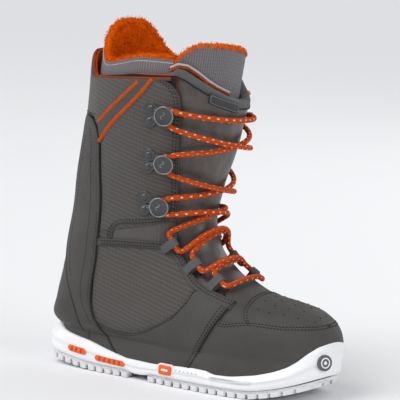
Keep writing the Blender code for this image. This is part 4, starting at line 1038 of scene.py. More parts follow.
def build_side(name, side):
    """Everything sewn on one flank."""
    # quarter: leather from the heel strip to the forefoot seam, with its top tab at the eyestay
    high = [(54, 60), (62, 54), (73, 50), (85, 48.3), (98, 48), (110, 49.5), (122, 53.5), (135, 60), (145, 65.5),
            (153, 71), (160, 78), (168, 88), (174, 99), (190, 95), (213.5, 87.6)]
    low = [(54, 24.5), (66, 22), (78, 19.5), (88, 17.5), (97, 16), (106, 15.7), (115, 15.6), (124, 15.5),
           (132, 15.5), (139, 16), (145, 16.5), (151, 17), (157, 17.5), (164, 18), (170, 18.3)]
    quarter = Panel(flank(high, low, side), -2.9, grooves=(2.4, 5.2), puff=0.2, cols=60, rows=26)
    quarter.build(f"quarter_{name}", LEATHER, FOOT, [f"quarter_{name}"], "leather")
    # ankle panel: ripstop under the flex notch
    top = [(60, 136), (85, 136), (110, 136), (128, 136), (141, 131), (152, 121), (166, 106), (173, 101)]
    bottom = [(53, 59), (62, 53), (73, 49), (98, 47), (117, 50.8), (135, 59), (150, 68), (160, 77), (168, 87),
              (172.5, 97)]
    ankle = Panel(flank(top, bottom, side), -1.7, grooves=(2.4, 5.2), puff=0.9, rows=26, cols=44)
    ankle.build(f"ankle_panel_{name}", RIPSTOP, FOOT, [f"ankle_panel_{name}"], "ripstop")
    edge = [(59, 134.5), (85, 136.2), (110, 136.5), (128, 136), (141, 131), (152, 121), (166, 107), (180, 99),
            (197, 93), (214, 88)]
    strip = Panel(flank(edge, offset_edge(edge, 7.6), side), -3.4, -1.2, rows=4, cols=70, grooves=(2.3, 5.3))
    strip.build(f"eyestay_{name}", LEATHER, FOOT, slot="leather")
    threads = [quarter.run("a", 2.4, start=0.02), quarter.run("a", 5.2, start=0.04),
               strip.run("a", 2.3, start=0.03), strip.run("a", 5.3, start=0.03, end=0.985),
               quarter.run("last", 2.6, start=0.06, end=0.97), quarter.run("last", 5.6, start=0.08, end=0.97)]
    seam(f"foot_seams_{name}", threads, THREAD, FOOT)
    # painted shadow line along the quarter's front edge, drawn as a thin black tube
    pipe(f"fore_piping_{name}", quarter.run("last", 0.2, start=0.0, end=0.99, lift=0.9)[0], 0.75, BLACK_PIPING_AND_SHADOW, FOOT)
    # backstay strip: one piece from the sole to its rounded top, across the ankle
    front = [(90, 18), (80, 28), (70, 39), (62, 50), (56, 61), (54, 73), (55.5, 92), (58.5, 110), (60.5, 136),
             (61.5, 172), (60.5, 210), (59, 232), (55, 244), (47, 251), (40, 253)]
    rear = [(44, 31), (38, 52), (30, 74), (22, 92), (17, 106), (15.5, 125), (17, 145), (21, 175), (25.5, 205),
            (30, 232), (34, 248), (37, 253)]
    stay = Panel(flank(front, rear, side), -3.3, grooves=(3.0,), puff=0.4, rows=22, cols=90)
    stay.build(f"backstay_{name}", LEATHER, SIDE, [f"backstay_{name}_lower", f"backstay_{name}_upper"],
               "leather")
    pipe(f"backstay_piping_front_{name}", stay.run("a", 0.1, lift=0.5)[0], 0.95, BLACK_PIPING_AND_SHADOW, SIDE)
    pipe(f"backstay_piping_rear_{name}", stay.run("b", 0.1, lift=0.3)[0], 0.95, BLACK_PIPING_AND_SHADOW, SIDE)
    lines = [stay.run("a", 13.0, start=0.13, end=0.93), stay.run("a", 3.0, start=0.03, end=0.6),
             stay.run("b", 9.0, start=0.3, end=0.9)]
    seam(f"backstay_seams_{name}", lines, THREAD, SIDE, pitch=3.4, radius=0.36)
    # cuff panel: ripstop from the notch to the rim
    fold = [(137, 157), (141, 172), (143, 192), (146, 220), (148, 250), (149.5, 270), (148, 284), (141, 293),
            (130, 297.5)]
    back = [(62, 141), (62, 172), (61, 210), (59.5, 232), (56, 243), (50, 251), (44, 262), (42, 277), (41, 291.3)]
    cuff = Panel(flank(fold, back, side), -2.0, puff=1.1, grooves=(2.6, 5.6), rows=40, cols=60)
    cuff.build(f"cuff_panel_{name}", RIPSTOP, CUFF, [f"cuff_panel_{name}"], "ripstop")
    low_edge = [(76.5, 136), (77, 141), (79.5, 146), (85, 150), (95, 151.5), (110, 153), (126, 155.5),
                (137, 157.5)]
    hem = Panel(flank(low_edge, offset_edge(low_edge, -6.4), side), -2.9, -1.2, rows=3, cols=40, grooves=(2.2,))
    hem.build(f"cuff_hem_{name}", LEATHER, SIDE, slot="leather")
    seam(f"cuff_hem_seams_{name}", [hem.run("a", 2.1, start=0.02), hem.run("b", 1.7, start=0.02)], THREAD, SIDE)
    seam(f"cuff_seams_{name}",
         [cuff.run("a", 2.6, start=0.02, end=0.99), cuff.run("a", 5.4, start=0.03, end=0.99)], THREAD, CUFF)
    pipe(f"cuff_edge_{name}", cuff.run("a", 0.2, lift=0.4)[0], 0.8, LEATHER, CUFF)
    # stretch gusset in the flex notch
    top = [(60, 152), (90, 158), (118, 163), (139, 165)]
    bottom = [(58, 124), (90, 125), (118, 126), (141, 124)]
    gusset = Panel(flank(top, bottom, side), -0.9, 0.1, rows=20, cols=30, puff=0.5)
    gusset.build(f"flex_gusset_{name}", GUSSET, SIDE, [f"flex_gusset_{name}"], "stretch")
    patch_a = [(74, 126), (76, 136), (78, 145), (86, 153)]
    patch_b = [(59, 126), (61, 138), (62, 148), (62, 158)]
    patch = Panel(flank(patch_a, patch_b, side), -1.5, -0.2, rows=8, cols=16)
    patch.build(f"flex_patch_{name}", RIPSTOP, SIDE, slot="ripstop")
    pipe(f"flex_patch_edge_{name}", patch.run("a", 0.2, start=0.2, end=0.9, lift=0.2)[0], 0.8, BLACK_PIPING_AND_SHADOW, SIDE)


def build_back():
    heel = Panel(across_back(lambda t: at_height(t, 0.0, 98.0), lambda t: at_height(t, 0.0, 254.0),
                             (-152.0, -208.0)), -2.1, puff=0.5, rows=60, cols=20, grooves=(3.0,))
    heel.build("back_panel", LEATHER, SIDE, ["back_panel_lower", "back_panel_upper"], "leather")
    seam("back_seam", [heel.run("first", heel.long / 2 + off) for off in (-1.6, 1.6)], THREAD, SIDE, pitch=3.4,
         radius=0.36)
    collar = Panel(across_back(lambda t: at_height(t, 0.0, 252.5), lambda t: rim_level(t, 0.0),
                               (-118.0, -242.0)), -1.8, puff=0.6, rows=24, cols=60, grooves=(3.2,))
    collar.build("collar_back", RIPSTOP, CUFF, ["collar_back"], "ripstop")
    seam("collar_seam", [collar.run("b", 3.0), collar.run("a", 2.6)], THREAD, CUFF)
    t = np.linspace(THROAT + 20, 340 - THROAT, 200)
    rim = layer(rim_level(t, 0.4, 0.7), t, 0.4)
    pipe("rim_binding", rim, 1.5, EDGING, CUFF)
    for k, r, tag in ((-1.2, 0.9, "outer"), (2.2, 1.2, "inner")):
        edge = layer(rim_level(t, k, -0.5), t, k)
        pipe(f"rim_edge_{tag}", edge, r, LEATHER if k < 0 else LINING, CUFF)


def toe_rays(q, z, start):
    """Origins and directions round the toe: q runs from the lateral side round the nose to the medial."""
    straight, arc = 252.0 - start, 150.0
    d = q * (2 * straight + arc)
    theta = np.clip((d - straight) / arc, 0, 1) * math.pi - math.pi / 2
    x = np.where(d < straight, start + d, np.where(d > straight + arc, 252.0 - (d - straight - arc), 252.0))
    origin = np.stack([x, np.zeros_like(x), z], -1)
    return origin, np.stack([np.cos(theta), np.sin(theta), np.zeros_like(theta)], -1)


def toe_band(low, high):
    """Place function of a band round the toe between two heights, given as functions of x."""
    def place(u, v, depth):
        u, v, depth = np.broadcast_arrays(u, v, np.asarray(depth, float))
        q, w, d = u.ravel(), v.ravel(), depth.ravel()
        x = np.minimum(188 + np.minimum(q, 1 - q) * 296, 304.0)
        for _ in range(3):
            z = low(x) * (1 - w) + high(x) * w
            under = np.maximum(CAD_RIM - z, 0.0)
            origin, way = toe_rays(q, z + under, 168.0 + (z - 20.0) * 0.63)
            p = cast(origin, way, d - np.minimum(under * 0.12, 1.1))
            x = p[:, 0]
        p[:, 2] -= under
        return p.reshape(u.shape + (3,))
    return place


def heel_band(low, high):
    def place(u, v, depth):
        u, v, depth = np.broadcast_arrays(u, v, np.asarray(depth, float))
        q, w, d = u.ravel(), v.ravel(), depth.ravel()
        psi = np.radians((q * 2 - 1) * 102.0)
        x = 38.0 - 46.0 * np.cos(psi)
        z = low(x) * (1 - w) + high(x) * w
        origin = np.stack([np.full(len(q), 38.0), np.zeros(len(q)), z], -1)
        under = np.maximum(CAD_RIM - z, 0.0)
        origin[:, 2] += under
        p = cast(origin, np.stack([-np.cos(psi), np.sin(psi), np.zeros(len(q))], -1), d)
        p[:, 2] -= under
        return p.reshape(u.shape + (3,))
    return place


def toe_cap(u, v, depth):
    """The toe-top panel: u from lateral to medial, v from the toe back."""
    t = 2 * u - 1
    x = 296.5 - v * 72.5
    limit = np.interp(x, [222, 240, 262, 280, 292, 297], [70, 70.5, 69, 69.5, 69, 66])
    a = chart(np.stack([x, limit], -1), -1)[1]
    b = chart(np.stack([x, limit], -1), 1)[1]
    s = TOE_X - x - (2.0 * t**2 + 9.0 * t**8) * v
    return layer(s, a * (1 - t) / 2 + b * (1 + t) / 2, depth)


def saddle(u, v, depth):
    """The vamp saddle behind the toe-top panel, rising to the throat."""
    t = 2 * u - 1
    tau = np.abs(t)
    front = 226.0 + 2.0 * tau**2 + 9.0 * tau**8
    back = 202.0 + 6.0 * np.clip((tau - 0.3) / 0.25, 0, 1) - 22.0 * np.clip((tau - 0.55) / 0.3, 0, 1)
    x = front * (1 - v) + back * v
    low = np.interp(x, [185, 200, 214, 224], [63.0, 66.0, 67.0, 69.5])
    a = chart(np.stack([x, low], -1), -1)[1]
    b = chart(np.stack([x, low], -1), 1)[1]
    s = TOE_X - x
    return layer(s, a * (1 - t) / 2 + b * (1 + t) / 2, depth)


def build_toe():
    rand = Panel(toe_band(lambda x: rim_height(x) - 1.2,
                          lambda x: np.interp(x, [186, 202, 212, 224, 236, 250, 263, 277, 290, 305],
                                              [73, 71.5, 71, 73.5, 74.5, 74, 73, 73.5, 74, 76])),
                 -2.1, puff=0.3, rows=20, cols=150, grooves=())
    rand.build("toe_rand", LEATHER_TOE, FOOT, ["toe_rand"], "leather")
    top = Panel(toe_cap, -1.9, puff=0.5, rows=34, cols=54)
    holes = []
    for row, (v, n) in enumerate(((0.14, 4), (0.32, 5), (0.5, 6), (0.68, 6), (0.84, 5))):
        for u in np.linspace(0.2 - 0.03 * (row % 2), 0.8 + 0.03 * (row % 2), n):
            spot = np.array([u + 0.01 * (row % 2)]), np.array([v])
            holes.append(toe_cap(*spot, -2.2)[0])
    top.build("toe_cap_panel", LEATHER_TOE, FOOT, ["toe_cap_panel"], "leather")
    pits = [plate(h + (0, 0, 0.15), (0.25, 0, 1), (1, 0, 0), 1.9, 1.9, 0.94, 0.5) for h in holes]
    fit("toe_perforations", joined(pits), BLACK_PIPING_AND_SHADOW, FOOT)
    back = Panel(saddle, -1.2, rows=20, cols=60, puff=0.2)
    back.build("vamp_saddle", LEATHER_TOE, FOOT, ["vamp_saddle"], "leather")
    lines = [rand.run("b", off, start=0.02, end=0.98, count=600) for off in (2.2, 4.8)]
    lines += [top.run("b", 1.8), top.run("b", 4.4), back.run("b", 2.0, start=0.12, end=0.88)]
    seam("toe_seams", lines, THREAD, FOOT)
    spot = toe_cap(np.array([0.5]), np.array([0.03]), -2.4)[0]
    fit("toe_tab", plate(spot, (0.8, 0.0, 0.6), (0, 1, 0), 2.6, 5.0, 1.0, 0.9), BLACK_PIPING_AND_SHADOW, FOOT)
    heel = Panel(heel_band(lambda x: rim_height(x) - 1.2,
                           lambda x: np.interp(x, [-9, 3, 10, 18, 26, 34, 46],
                                               [100, 100, 112, 104, 88, 68, 46])),
                 -2.3, puff=0.4, rows=22, cols=60, grooves=(3.0,))
    heel.build("heel_counter", LEATHER, FOOT, ["heel_counter"], "leather")
    seam("heel_seam", [heel.run("b", 3.0, start=0.1, end=0.9)], THREAD, FOOT)


# ---- tongue and liner --------------------------------------------------------------------------------
def ripple(s, t):
    """Slow unevenness of padded cloth, in mm."""
    return (np.sin(s / 9.0 + np.radians(t) * 3) + np.sin(s / 5.3 - np.radians(t) * 7 + 1.3)
            + np.sin(s / 14.0 + np.radians(t) * 11 + 0.5)) / 3


def rolled(outer, inner, count=4):
    """Extra rows over the top edge so that a padded sheet ends in a roll."""
    a, b = outer[-1], inner[-1]
    mid, half = (a + b) / 2, (a - b) / 2
    tall = np.linalg.norm(half, axis=1)[:, None]
    up = outer[-1] - outer[-2]
    up /= np.linalg.norm(up, axis=1)[:, None]
    arc = np.linspace(0, math.pi / 2, count + 1)[1:]
    more = [mid + half * math.cos(k) + up * tall * math.sin(k) * 0.9 for k in arc[:-1]]
    less = [mid - half * math.cos(k) + up * tall * math.sin(k) * 0.9 for k in arc[:-1]]
    top = (mid + up * tall * 0.9)[None]
    return np.concatenate([outer, more, top + 0.02]), np.concatenate([inner, less, top - 0.02])


def tongue_depth(t):
    return 0.6 + 3.2 * np.clip((np.abs(t) - 12.0) / 30.0, 0, 1)


def build_tongue():
    half = 74.0
    t = np.linspace(-half, half, 75)
    k = np.linspace(0, 1, 60)[:, None]

    def shell(rows, deeper):
        a = np.broadcast_to(t[None, :], rows.shape)
        near = np.clip((half - np.abs(a)) / 9.0, 0, 1)
        d = tongue_depth(a) + deeper - 0.35 * ripple(rows, a) - 0.5 * near**0.5
        thick = np.clip((68.0 - np.abs(a)) / 14.0, 0, 1)
        pad = 1.8 + thick * np.maximum(tongue_depth(a) * 0.5 + 4.8 - d, 0.2)
        return layer(rows, a, d), layer(rows, a, d + pad)

    low = 95.0 + k * (at_height(t, 3.0, 170.0) - 95.0)[None, :]
    outer, inner = shell(low, 0.9 * np.clip((k - 0.75) / 0.2, 0, 1))
    obj = sheet("tongue_lower", outer, inner, (t * 0.9, low), [SATIN, LINING])
    attach(obj, AHEAD, ["tongue_lower", "tongue_fold"])
    height = np.interp(t, [-74, -66, -60, -47, -30, -15, 0, 15, 30, 47, 60, 74],
                       [301, 309, 307, 299, 290, 283.5, 279, 278, 281, 290, 300, 300])
    crown = at_height(t, 3.0, height) - 3.6
    start = at_height(t, 3.0, 150.0)
    high = start[None, :] + k * (crown - 4.0 - start)[None, :]
    deeper = -0.35 * np.clip((k - 0.1) / 0.1, 0, 1) + 0.5 * np.clip((0.1 - k) / 0.1, 0, 1)
    outer, inner = shell(high, deeper)
    obj = sheet("tongue_upper", outer, inner, (t * 0.9, high), [SATIN, LINING])
    attach(obj, OVER, ["tongue_upper"])
    # mesh binding folded over the crown, with a groove along its lower edge
    turn = np.linspace(0, math.pi, 15)
    rows = []
    for a in turn:
        s_off = crown + 1.2 + 2.6 * math.sin(a)
        d = tongue_depth(t) + 3.2 - 4.9 * math.cos(a) + 0.3 * math.sin(3 * a)
        rows.append(layer(s_off, t, d))
    skirt = [layer(crown - 6.4 + i * 1.2, t, tongue_depth(t) - (1.0 + 0.9 * math.sin(i / 6 * math.pi / 1.4)))
             for i in range(6)]
    hem = [layer(crown - 6.8, t, tongue_depth(t) - 0.2)]
    outer = np.array(hem + skirt + rows)
    inner = np.array([layer(crown - 7.0 + i * 0.2, t, tongue_depth(t) + 3.4) for i in range(len(outer))])
    obj = sheet("tongue_binding", outer, inner, (t * 0.95, travel(outer, 0)), BINDING)
    attach(obj, TONGUE, ["tongue_binding"])
    groove = layer(crown - 5.0, t, tongue_depth(t) - 2.1)
    pipe("tongue_binding_cord", groove[2:-2], 0.6, THREAD, TONGUE)
    # small blank label below the binding
    low = at_height(np.array([-36.0, -4.0]), 0.0, np.array([277.0, 266.5]))

    def place(u, v, d):
        angle = -36 + 32 * u
        return layer(low[0] * (1 - u) + low[1] * u + 10 * v, angle, tongue_depth(angle) + d)

    label = Panel(place, -3.6, -1.0, rows=5, cols=20)
    label.build("tongue_label", LABEL, TONGUE, ["tongue_label"])
    frame_line = [label.run(edge, 1.3, start=0.05, end=0.95) for edge in ("a", "b")]
    frame_line += [label.run(edge, 1.4, start=0.15, end=0.85) for edge in ("first", "last")]
    seam("label_frame", frame_line, GREY_THREAD, TONGUE, pitch=1.6, share=0.7, radius=0.2)


def tufts(name, points, normals, count, length, where, seed):
    """Short curled fibres standing out of a fleece."""
    rng = np.random.default_rng(seed)
    pick = rng.integers(0, len(points), count)
    p = points[pick] + rng.normal(0, 0.9, (count, 3))
    n = normals[pick] + rng.normal(0, 0.55, (count, 3))
    n /= np.linalg.norm(n, axis=1)[:, None]
    w = np.cross(n, rng.normal(0, 1, (count, 3)))
    w /= np.linalg.norm(w, axis=1)[:, None]
    q = np.cross(n, w)
    size = rng.uniform(0.6, 1.0, (count, 1)) * length
    wide = 0.38
    base = p - n * 0.6
    tip = p + n * size + w * size * rng.normal(0, 0.5, (count, 1))
    mid = p + n * size * 0.55
    rows = [base + w * wide, base - w * wide * 0.5 + q * wide * 0.87, base - w * wide * 0.5 - q * wide * 0.87,
            mid + w * wide * 0.7, mid - w * wide * 0.35 + q * wide * 0.6, mid - w * wide * 0.35 - q * wide * 0.6, tip]
    verts = np.stack(rows, 1).reshape(-1, 3)
    one = [(2, 1, 0), (0, 1, 4, 3), (1, 2, 5, 4), (2, 0, 3, 5), (3, 4, 6), (4, 5, 6), (5, 3, 6)]
    faces = [tuple(i + 7 * k for i in f) for k in range(count) for f in one]
    return attach(build(name, verts, faces, FLEECE, sharp=90), where)


def liner_depth(t, s):
    t = np.abs((np.asarray(t, float) + 180) % 360 - 180)
    under = np.clip((68.0 - t) / 12.0, 0, 1) * 5.4
    sole = np.clip((t - 140.0) / 20.0, 0, 1) * np.clip((175.0 - s) / 40.0, 0, 1) * 4.2
    return 6.0 + under + sole


def build_liner():
    ring = np.linspace(48, 312, 97)
    front = np.linspace(312, 408, 26)[1:-1]
    t = np.concatenate([ring, front])
    rise = np.where(t < 155, ease_step((t - 106) / 46), ease_step((240 - t) / 70))
    top_z = 306.0 + 36.0 * rise + 7.0 * ease_step((t - 236) / 60)
    top = at_height(t, 8.0, top_z)
    toe = np.array([13.0, 16, 20, 26, 34, 44, 56, 70, 83])[:, None] + np.zeros(len(t))
    rows = np.concatenate([toe, ring_rows(94.0, top, 76)])
    fold = at_height(0.0, 8.0, 152.0)
    keep = np.ones((len(rows) - 1, len(t)), bool)
    keep[(rows[:-1, len(ring) + 5] > fold), len(ring) - 1:] = False
    turn = t - 22.0 * ease_step((rows - 215.0) / 55.0) * np.clip((t - 200.0) / 112.0, 0, 1) * (t <= 312.0)
    rim = level(t, 8.0, rim_plane)
    above = np.clip((rows - rim) / 20.0, 0, 1)
    out = liner_depth(turn, rows) + 2.0 * above - 0.3 * ripple(rows, turn)
    deep = 7.0 + 1.2 * ripple(rows * 1.7, turn * 1.9) + 1.5 * above
    deep = np.where(rows < 200, np.minimum(deep, 5.6), deep)
    outer, inner = layer(rows, turn, out), layer(rows, turn, out + deep)
    flat = (turn * 0.9, shaft_height(outer))
    obj = sheet("liner_bootie", outer, inner, flat, [MESH, FLEECE], keep, True, 60)
    attach(obj, SIDE_AND_FRONT, ["liner_foot", "liner_fold", "liner_cuff"])
    # rolled fleece edge
    n = len(ring)
    mid = (outer[-1, :n] + inner[-1, :n]) / 2
    curve = even(mid, 2.2)
    knots = np.arange(len(curve))
    lift = ease_step((curve[:, 2] - 312.0) / 20.0)
    pipe_r = 2.7 + 1.2 * lift + 0.25 * np.sin(knots * 1.1) + 0.2 * np.sin(knots * 2.3 + 1)
    pipe_r[:3] *= (0.5, 0.75, 0.92)
    pipe_r[-3:] *= (0.92, 0.75, 0.5)
    v, f, c = tube(curve + (0, 0, 0.5), pipe_r, 14)
    attach(build("liner_edge", v, f, FLEECE, c, sharp=80), CUFF)
    mesh_cord = layer(top[:n] - 3.6, turn[-1, :n], out[-1, :n] - 0.1)
    pipe("liner_edge_piping", mesh_cord, 0.5, GREY_THREAD, CUFF)
    # fibres on the edge and on the inside of the collar
    around = tube(curve + (0, 0, 0.5), pipe_r, 10)[0].reshape(len(curve), 10, 3)
    centre = (curve + (0, 0, 0.5))[:, None, :]
    way = around - centre
    pts, nrm = around.reshape(-1, 3), (way / np.linalg.norm(way, axis=2)[..., None]).reshape(-1, 3)
    tufts("liner_edge_fibres", pts, nrm, 6500, 1.25, CUFF, 5)
    pick = rows[:, :n] > (rim[:n] - 55)
    a = inner[:, :n]
    inward = a - outer[:, :n]
    inward /= np.linalg.norm(inward, axis=2)[..., None]
    tufts("liner_inside_fibres", a[pick], inward[pick], 9000, 1.2, CUFF, 7)


def build_liner_tongue():
    t = np.linspace(-47, 47, 61)
    wide = np.where(t < 0, t * 74.0 / 47.0, t)
    height = np.interp(wide, [-74, -70, -66, -60, -52, -42, -20, 0, 25, 47],
                       [304, 310, 316, 322.5, 327, 329, 328, 325, 319, 313])
    crown = at_height(wide, 8.0, height)
    start = at_height(t, 8.0, 156.0)
    k = np.linspace(0, 1, 80)[:, None]
    rows = start + k * (crown - start)
    tt = t + (wide - t) * ease_step((rows - 255.0) / 50.0)
    near = np.clip((47 - np.abs(np.broadcast_to(t, rows.shape))) / 6.0, 0, 1)
    base = 11.4 - 3.4 * ease_step((-tt - 50.0) / 16.0)
    out = base - 0.2 - 0.3 * ripple(rows, tt) - 1.6 * near**0.6 + 1.6
    inn = base + 6.0 + 0.5 * ripple(rows * 2, tt * 2) - 1.4 * (1 - near)
    outer, inner = layer(rows, tt, out), layer(rows, tt, inn)
    o2, i2 = rolled(outer, inner)
    obj = sheet("liner_tongue", o2, i2, (t * 0.9, travel(o2, 0)), [MESH, FLEECE], sharp=60)
    attach(obj, OVER, ["liner_tongue"])
    side_edge = ((outer[-8:-1] + inner[-8:-1]) / 2)[:, 0]
    top = np.concatenate([side_edge, (outer[-1] + inner[-1]) / 2 + (0.3, 0, 1.2)])
    curve = even(top, 2.0)
    r = 2.8 + 0.3 * np.sin(np.arange(len(curve)) * 1.2)
    v, f, c = tube(curve, r, 12)
    attach(build("liner_tongue_edge", v, f, FLEECE, c, sharp=80), TONGUE)
    way = v.reshape(len(curve), 12, 3) - curve[:, None, :]
    tufts("liner_tongue_fibres", v, (way / np.linalg.norm(way, axis=2)[..., None]).reshape(-1, 3), 2600, 1.2,
          TONGUE, 11)
    pick = rows > (crown - 70)
    inward = inner - outer
    inward /= np.linalg.norm(inward, axis=2)[..., None]
    tufts("liner_tongue_inside", inner[pick], inward[pick], 2600, 1.2, TONGUE, 13)
    # pale piping with an orange strip along the foot of the pad, on the lateral side
    arc = np.linspace(-72, -8, 80)
    height = np.interp(arc, [-72, -66, -58, -47, -36, -24, -8], [309, 313, 312, 305.5, 298, 292, 286])
    line = at_height(arc, 8.0, height)
    deep = 8.6 - 2.6 * ease_step((-arc - 50.0) / 16.0)
    pipe("liner_piping", layer(line, arc, deep), 1.25, GREY_THREAD, TONGUE)
    pipe("liner_piping_orange", layer(line - 2.6, arc, deep - 0.6), 1.3, EDGING, TONGUE)


SIDE_AND_FRONT = ((FOOT, CUFF), ((130.0, 0.0, 128.0), (130.0, 0.0, 163.0)))


# ---- hooks, loops and lace -----------------------------------------------------------------------------
def surface_frame(x, z, side):
    s, t = (float(k[0]) for k in chart([(x, z)], side))
    p = layer(s, t)
    ds = layer(s + 0.5, t) - layer(s - 0.5, t)
    dt = layer(s, t + side * 0.5) - layer(s, t - side * 0.5)
    normal = np.cross(ds, dt) * -side
    normal /= np.linalg.norm(normal)
    if normal[1] * side < 0:
        normal = -normal
    up = ds - normal * (ds @ normal)
    up /= np.linalg.norm(up)
    forward = np.cross(up, normal) * side
    if forward[0] < 0:
        forward = -forward
    return p, normal, forward, up


def turned(centre, axis, outline, sides=40):
    """A revolved form: outline is (radius, height) pairs, closed on the axis at both ends."""
    n = np.array(axis, float) / np.linalg.norm(axis)
    u = np.cross(n, (0.3, 0.2, 0.9))
    u /= np.linalg.norm(u)
    v = np.cross(n, u)
    turns = np.arange(sides) * 2 * math.pi / sides
    circle = np.cos(turns)[:, None] * u + np.sin(turns)[:, None] * v
    verts = np.concatenate([centre + n * h + max(r, 0.05) * circle for r, h in outline])
    return verts, capped_faces(len(outline), sides), np.zeros((len(verts), 2))


RIVETS = [((122, 269), (121, 257)), ((120, 224), (118, 212)), ((112, 181), (111, 169))]


def build_hooks():
    for name, side in (("lat", -1), ("med", 1)):
        for i, (x, z) in enumerate(HOOKS):
            p, n, f, u = surface_frame(x, z, side)
            parts, rim, feet = [], [], []
            for rx, rz in RIVETS[i]:
                q, m, _, _ = surface_frame(rx, rz, side)
                feet.append((q, m))
                q = q + m * 2.8
                parts.append(turned(q, m, [(0, -1), (6.4, -1), (6.4, 0.9), (6.0, 1.3), (4.0, 1.5), (0, 1.5)]))
                parts.append(turned(q, m, [(0, 1), (3.5, 1.2), (3.4, 1.9), (2.6, 2.7), (1.2, 3.1), (0, 3.15)]))
            for q, m in feet:
                a, b = q + m * 3.3, p + n * 3.6
                bar = np.linspace(0, 1, 9)[:, None]
                parts.append(tube(a * (1 - bar) + b * bar, np.linspace(4.4, 4.0, 9) * 0.42, 12))
                side_way = np.cross((b - a) / np.linalg.norm(b - a), n)
                for off in (-2.6, -1.2, 1.2, 2.6):
                    parts.append(tube(a * (1 - bar) + b * bar + side_way * off, 1.15, 8))
            neck = [(0, 0), (4.3, 0), (3.4, 1.4), (HOOK_NECK, 3.0), (3.2, 5.2), (4.6, 6.2), (0, 6.2)]
            parts.append(turned(p + n * 2.6, n, neck))
            top = p + n * 4.7
            parts.append(turned(top, n, [(0, 3.6), (8.4, 3.7), (9.6, 4.4), (10.1, 5.2), (9.9, 5.9), (9.0, 5.9),
                                         (8.3, 5.5), (0, 5.3)], 56))
            a = np.linspace(0, 2 * math.pi, 61)[:, None]
            rim.append(tube(top + n * 5.75 + 9.25 * (np.cos(a) * f + np.sin(a) * u), 0.62, 8))
            k = np.linspace(0, 1, 40)
            bend = 1.7 * np.sin((k - 0.5) * 2 * math.pi) * -side
            line = top + n * 5.35 - f * 1.5 + ((k - 0.5) * 7.0)[:, None] * u + bend[:, None] * f
            rim.append(tube(line, 0.4, 6))
            v, fc, c = joined(parts)
            attach(build(f"hook_{name}_{i + 1}", v, fc, METAL, c, sharp=35), CUFF, [f"hook_{name}_{i + 1}"])
            v, fc, c = joined(rim)
            attach(build(f"hook_rim_{name}_{i + 1}", v, fc, BRIGHT_METAL, c, sharp=60), CUFF)


def loop_frame(i, side):
    """Centre, outward normal and long axis of a loop."""
    p, n, _, _ = surface_frame(*LOOPS[i], side)
    along = np.array((0.62, 0.0, -0.78))
    along -= n * (along @ n)
    return p + n * LOOP_LIFT, n, along / np.linalg.norm(along)


def build_loops():
    """Ribbed webbing loops: a strap round the lace whose two plies run back under the eyestay."""
    shape = [(-4.2, -0.5), (-4.4, 0.0), (-4.2, 0.5), (-2.1, 0.7), (0, 0.72), (2.1, 0.7), (4.2, 0.5),
             (4.4, 0.0), (4.2, -0.5), (2.1, -0.6), (0, -0.62), (-2.1, -0.6)]
    for name, side in (("lat", -1), ("med", 1)):
        for i, (x, z) in enumerate(LOOPS):
            centre, n, along = loop_frame(i, side)
            back = np.cross(along, n)
            if back[0] > 0:
                back = -back
            bend = np.radians(np.linspace(-118, 118, 25))
            path = [centre + (-back * math.cos(k) + n * math.sin(k)) * 3.5 for k in bend]
            first, last = path[0], path[-1]
            q, m, _, _ = surface_frame(x + back[0] * 15.0, z + back[2] * 15.0, side)
            tail = q + m * 0.7
            run = np.linspace(0.08, 1, 12)
            top_ply = [last * (1 - k) + (tail + m * 1.3) * k + n * 1.2 * math.sin(k * math.pi) for k in run]
            low_ply = [first * (1 - k) + tail * k - n * 0.8 * math.sin(k * math.pi) for k in run]
            line = even(np.array(low_ply[::-1] + path + top_ply), 0.8)
            t = np.gradient(line, axis=0)
            t /= np.linalg.norm(t, axis=1)[:, None]
            m = np.cross(t, along)
            m /= np.linalg.norm(m, axis=1)[:, None]
            grid = np.array([line + along * w + m * h for w, h in shape]).transpose(1, 0, 2)
            faces = capped_faces(*grid.shape[:2])
            wide = np.array([w for w, _ in shape])
            flat = np.stack(np.broadcast_arrays(travel(line, 0)[:, None], wide[None]), -1)
            attach(build(f"lace_loop_{name}_{i + 1}", grid.reshape(-1, 3), faces, WEBBING, flat.reshape(-1, 2),
                         sharp=50), FOOT, [f"lace_loop_{name}_{i + 1}"])


def loop_point(i, side, end):
    centre, _, along = loop_frame(i, side)
    return centre + along * end


def hook_point(i, side, turn):
    p, n, f, u = surface_frame(*HOOKS[i], side)
    a = math.radians(turn)
    return p + n * HOOK_LIFT + (f * math.cos(a) + u * math.sin(a)) * (HOOK_NECK + LACE_R + 0.9)


def over(a, b, lift, ahead, count=11):
    """A run of lace across the tongue from a to b, resting on it."""
    v = np.linspace(0, 1, count)
    clear = LACE_LOW + (lift - LACE_LOW) * np.clip(1.7 - np.abs(v - 0.5) * 5.0, 0, 1)
    line = a * (1 - v[:, None]) + b * v[:, None]
    across = line[:, 1] / max(abs(a[1]), abs(b[1]))
    direction = np.array(ahead) * (1 - across**2)[:, None]
    direction[:, 1] += across
    direction /= np.linalg.norm(direction, axis=1)[:, None]
    return [a] + list(cast(line, direction, -clear - LACE_R)[1:-1]) + [b]


def ease(path, times):
    path = np.array(path, float)
    for _ in range(times):
        path[1:-1] = (path[:-2] + 2 * path[1:-1] + path[2:]) / 4
    return path


VAMP_WAY, ANKLE_WAY, SHIN_WAY = (0.6, 0.0, 0.8), (0.95, 0.0, 0.3), (0.99, 0.0, -0.1)


def lace_half(side):
    first, second = (LACE_LOW, LACE_HIGH) if side < 0 else (LACE_HIGH, LACE_LOW)
    return ([loop_point(2, side, 0)] + over(loop_point(2, side, -12), loop_point(1, -side, 12), first, VAMP_WAY)
            + [loop_point(1, -side, 0)]
            + over(loop_point(1, -side, -12), loop_point(0, side, 12), second, VAMP_WAY)
            + [loop_point(0, side, 0), loop_point(0, side, -10)])


def lace(name, path, where, node):
    verts, faces, along = tube(even(path, 0.9), LACE_R, 14)
    attach(build(name, verts, faces, LACE, along, sharp=80), where, [node])


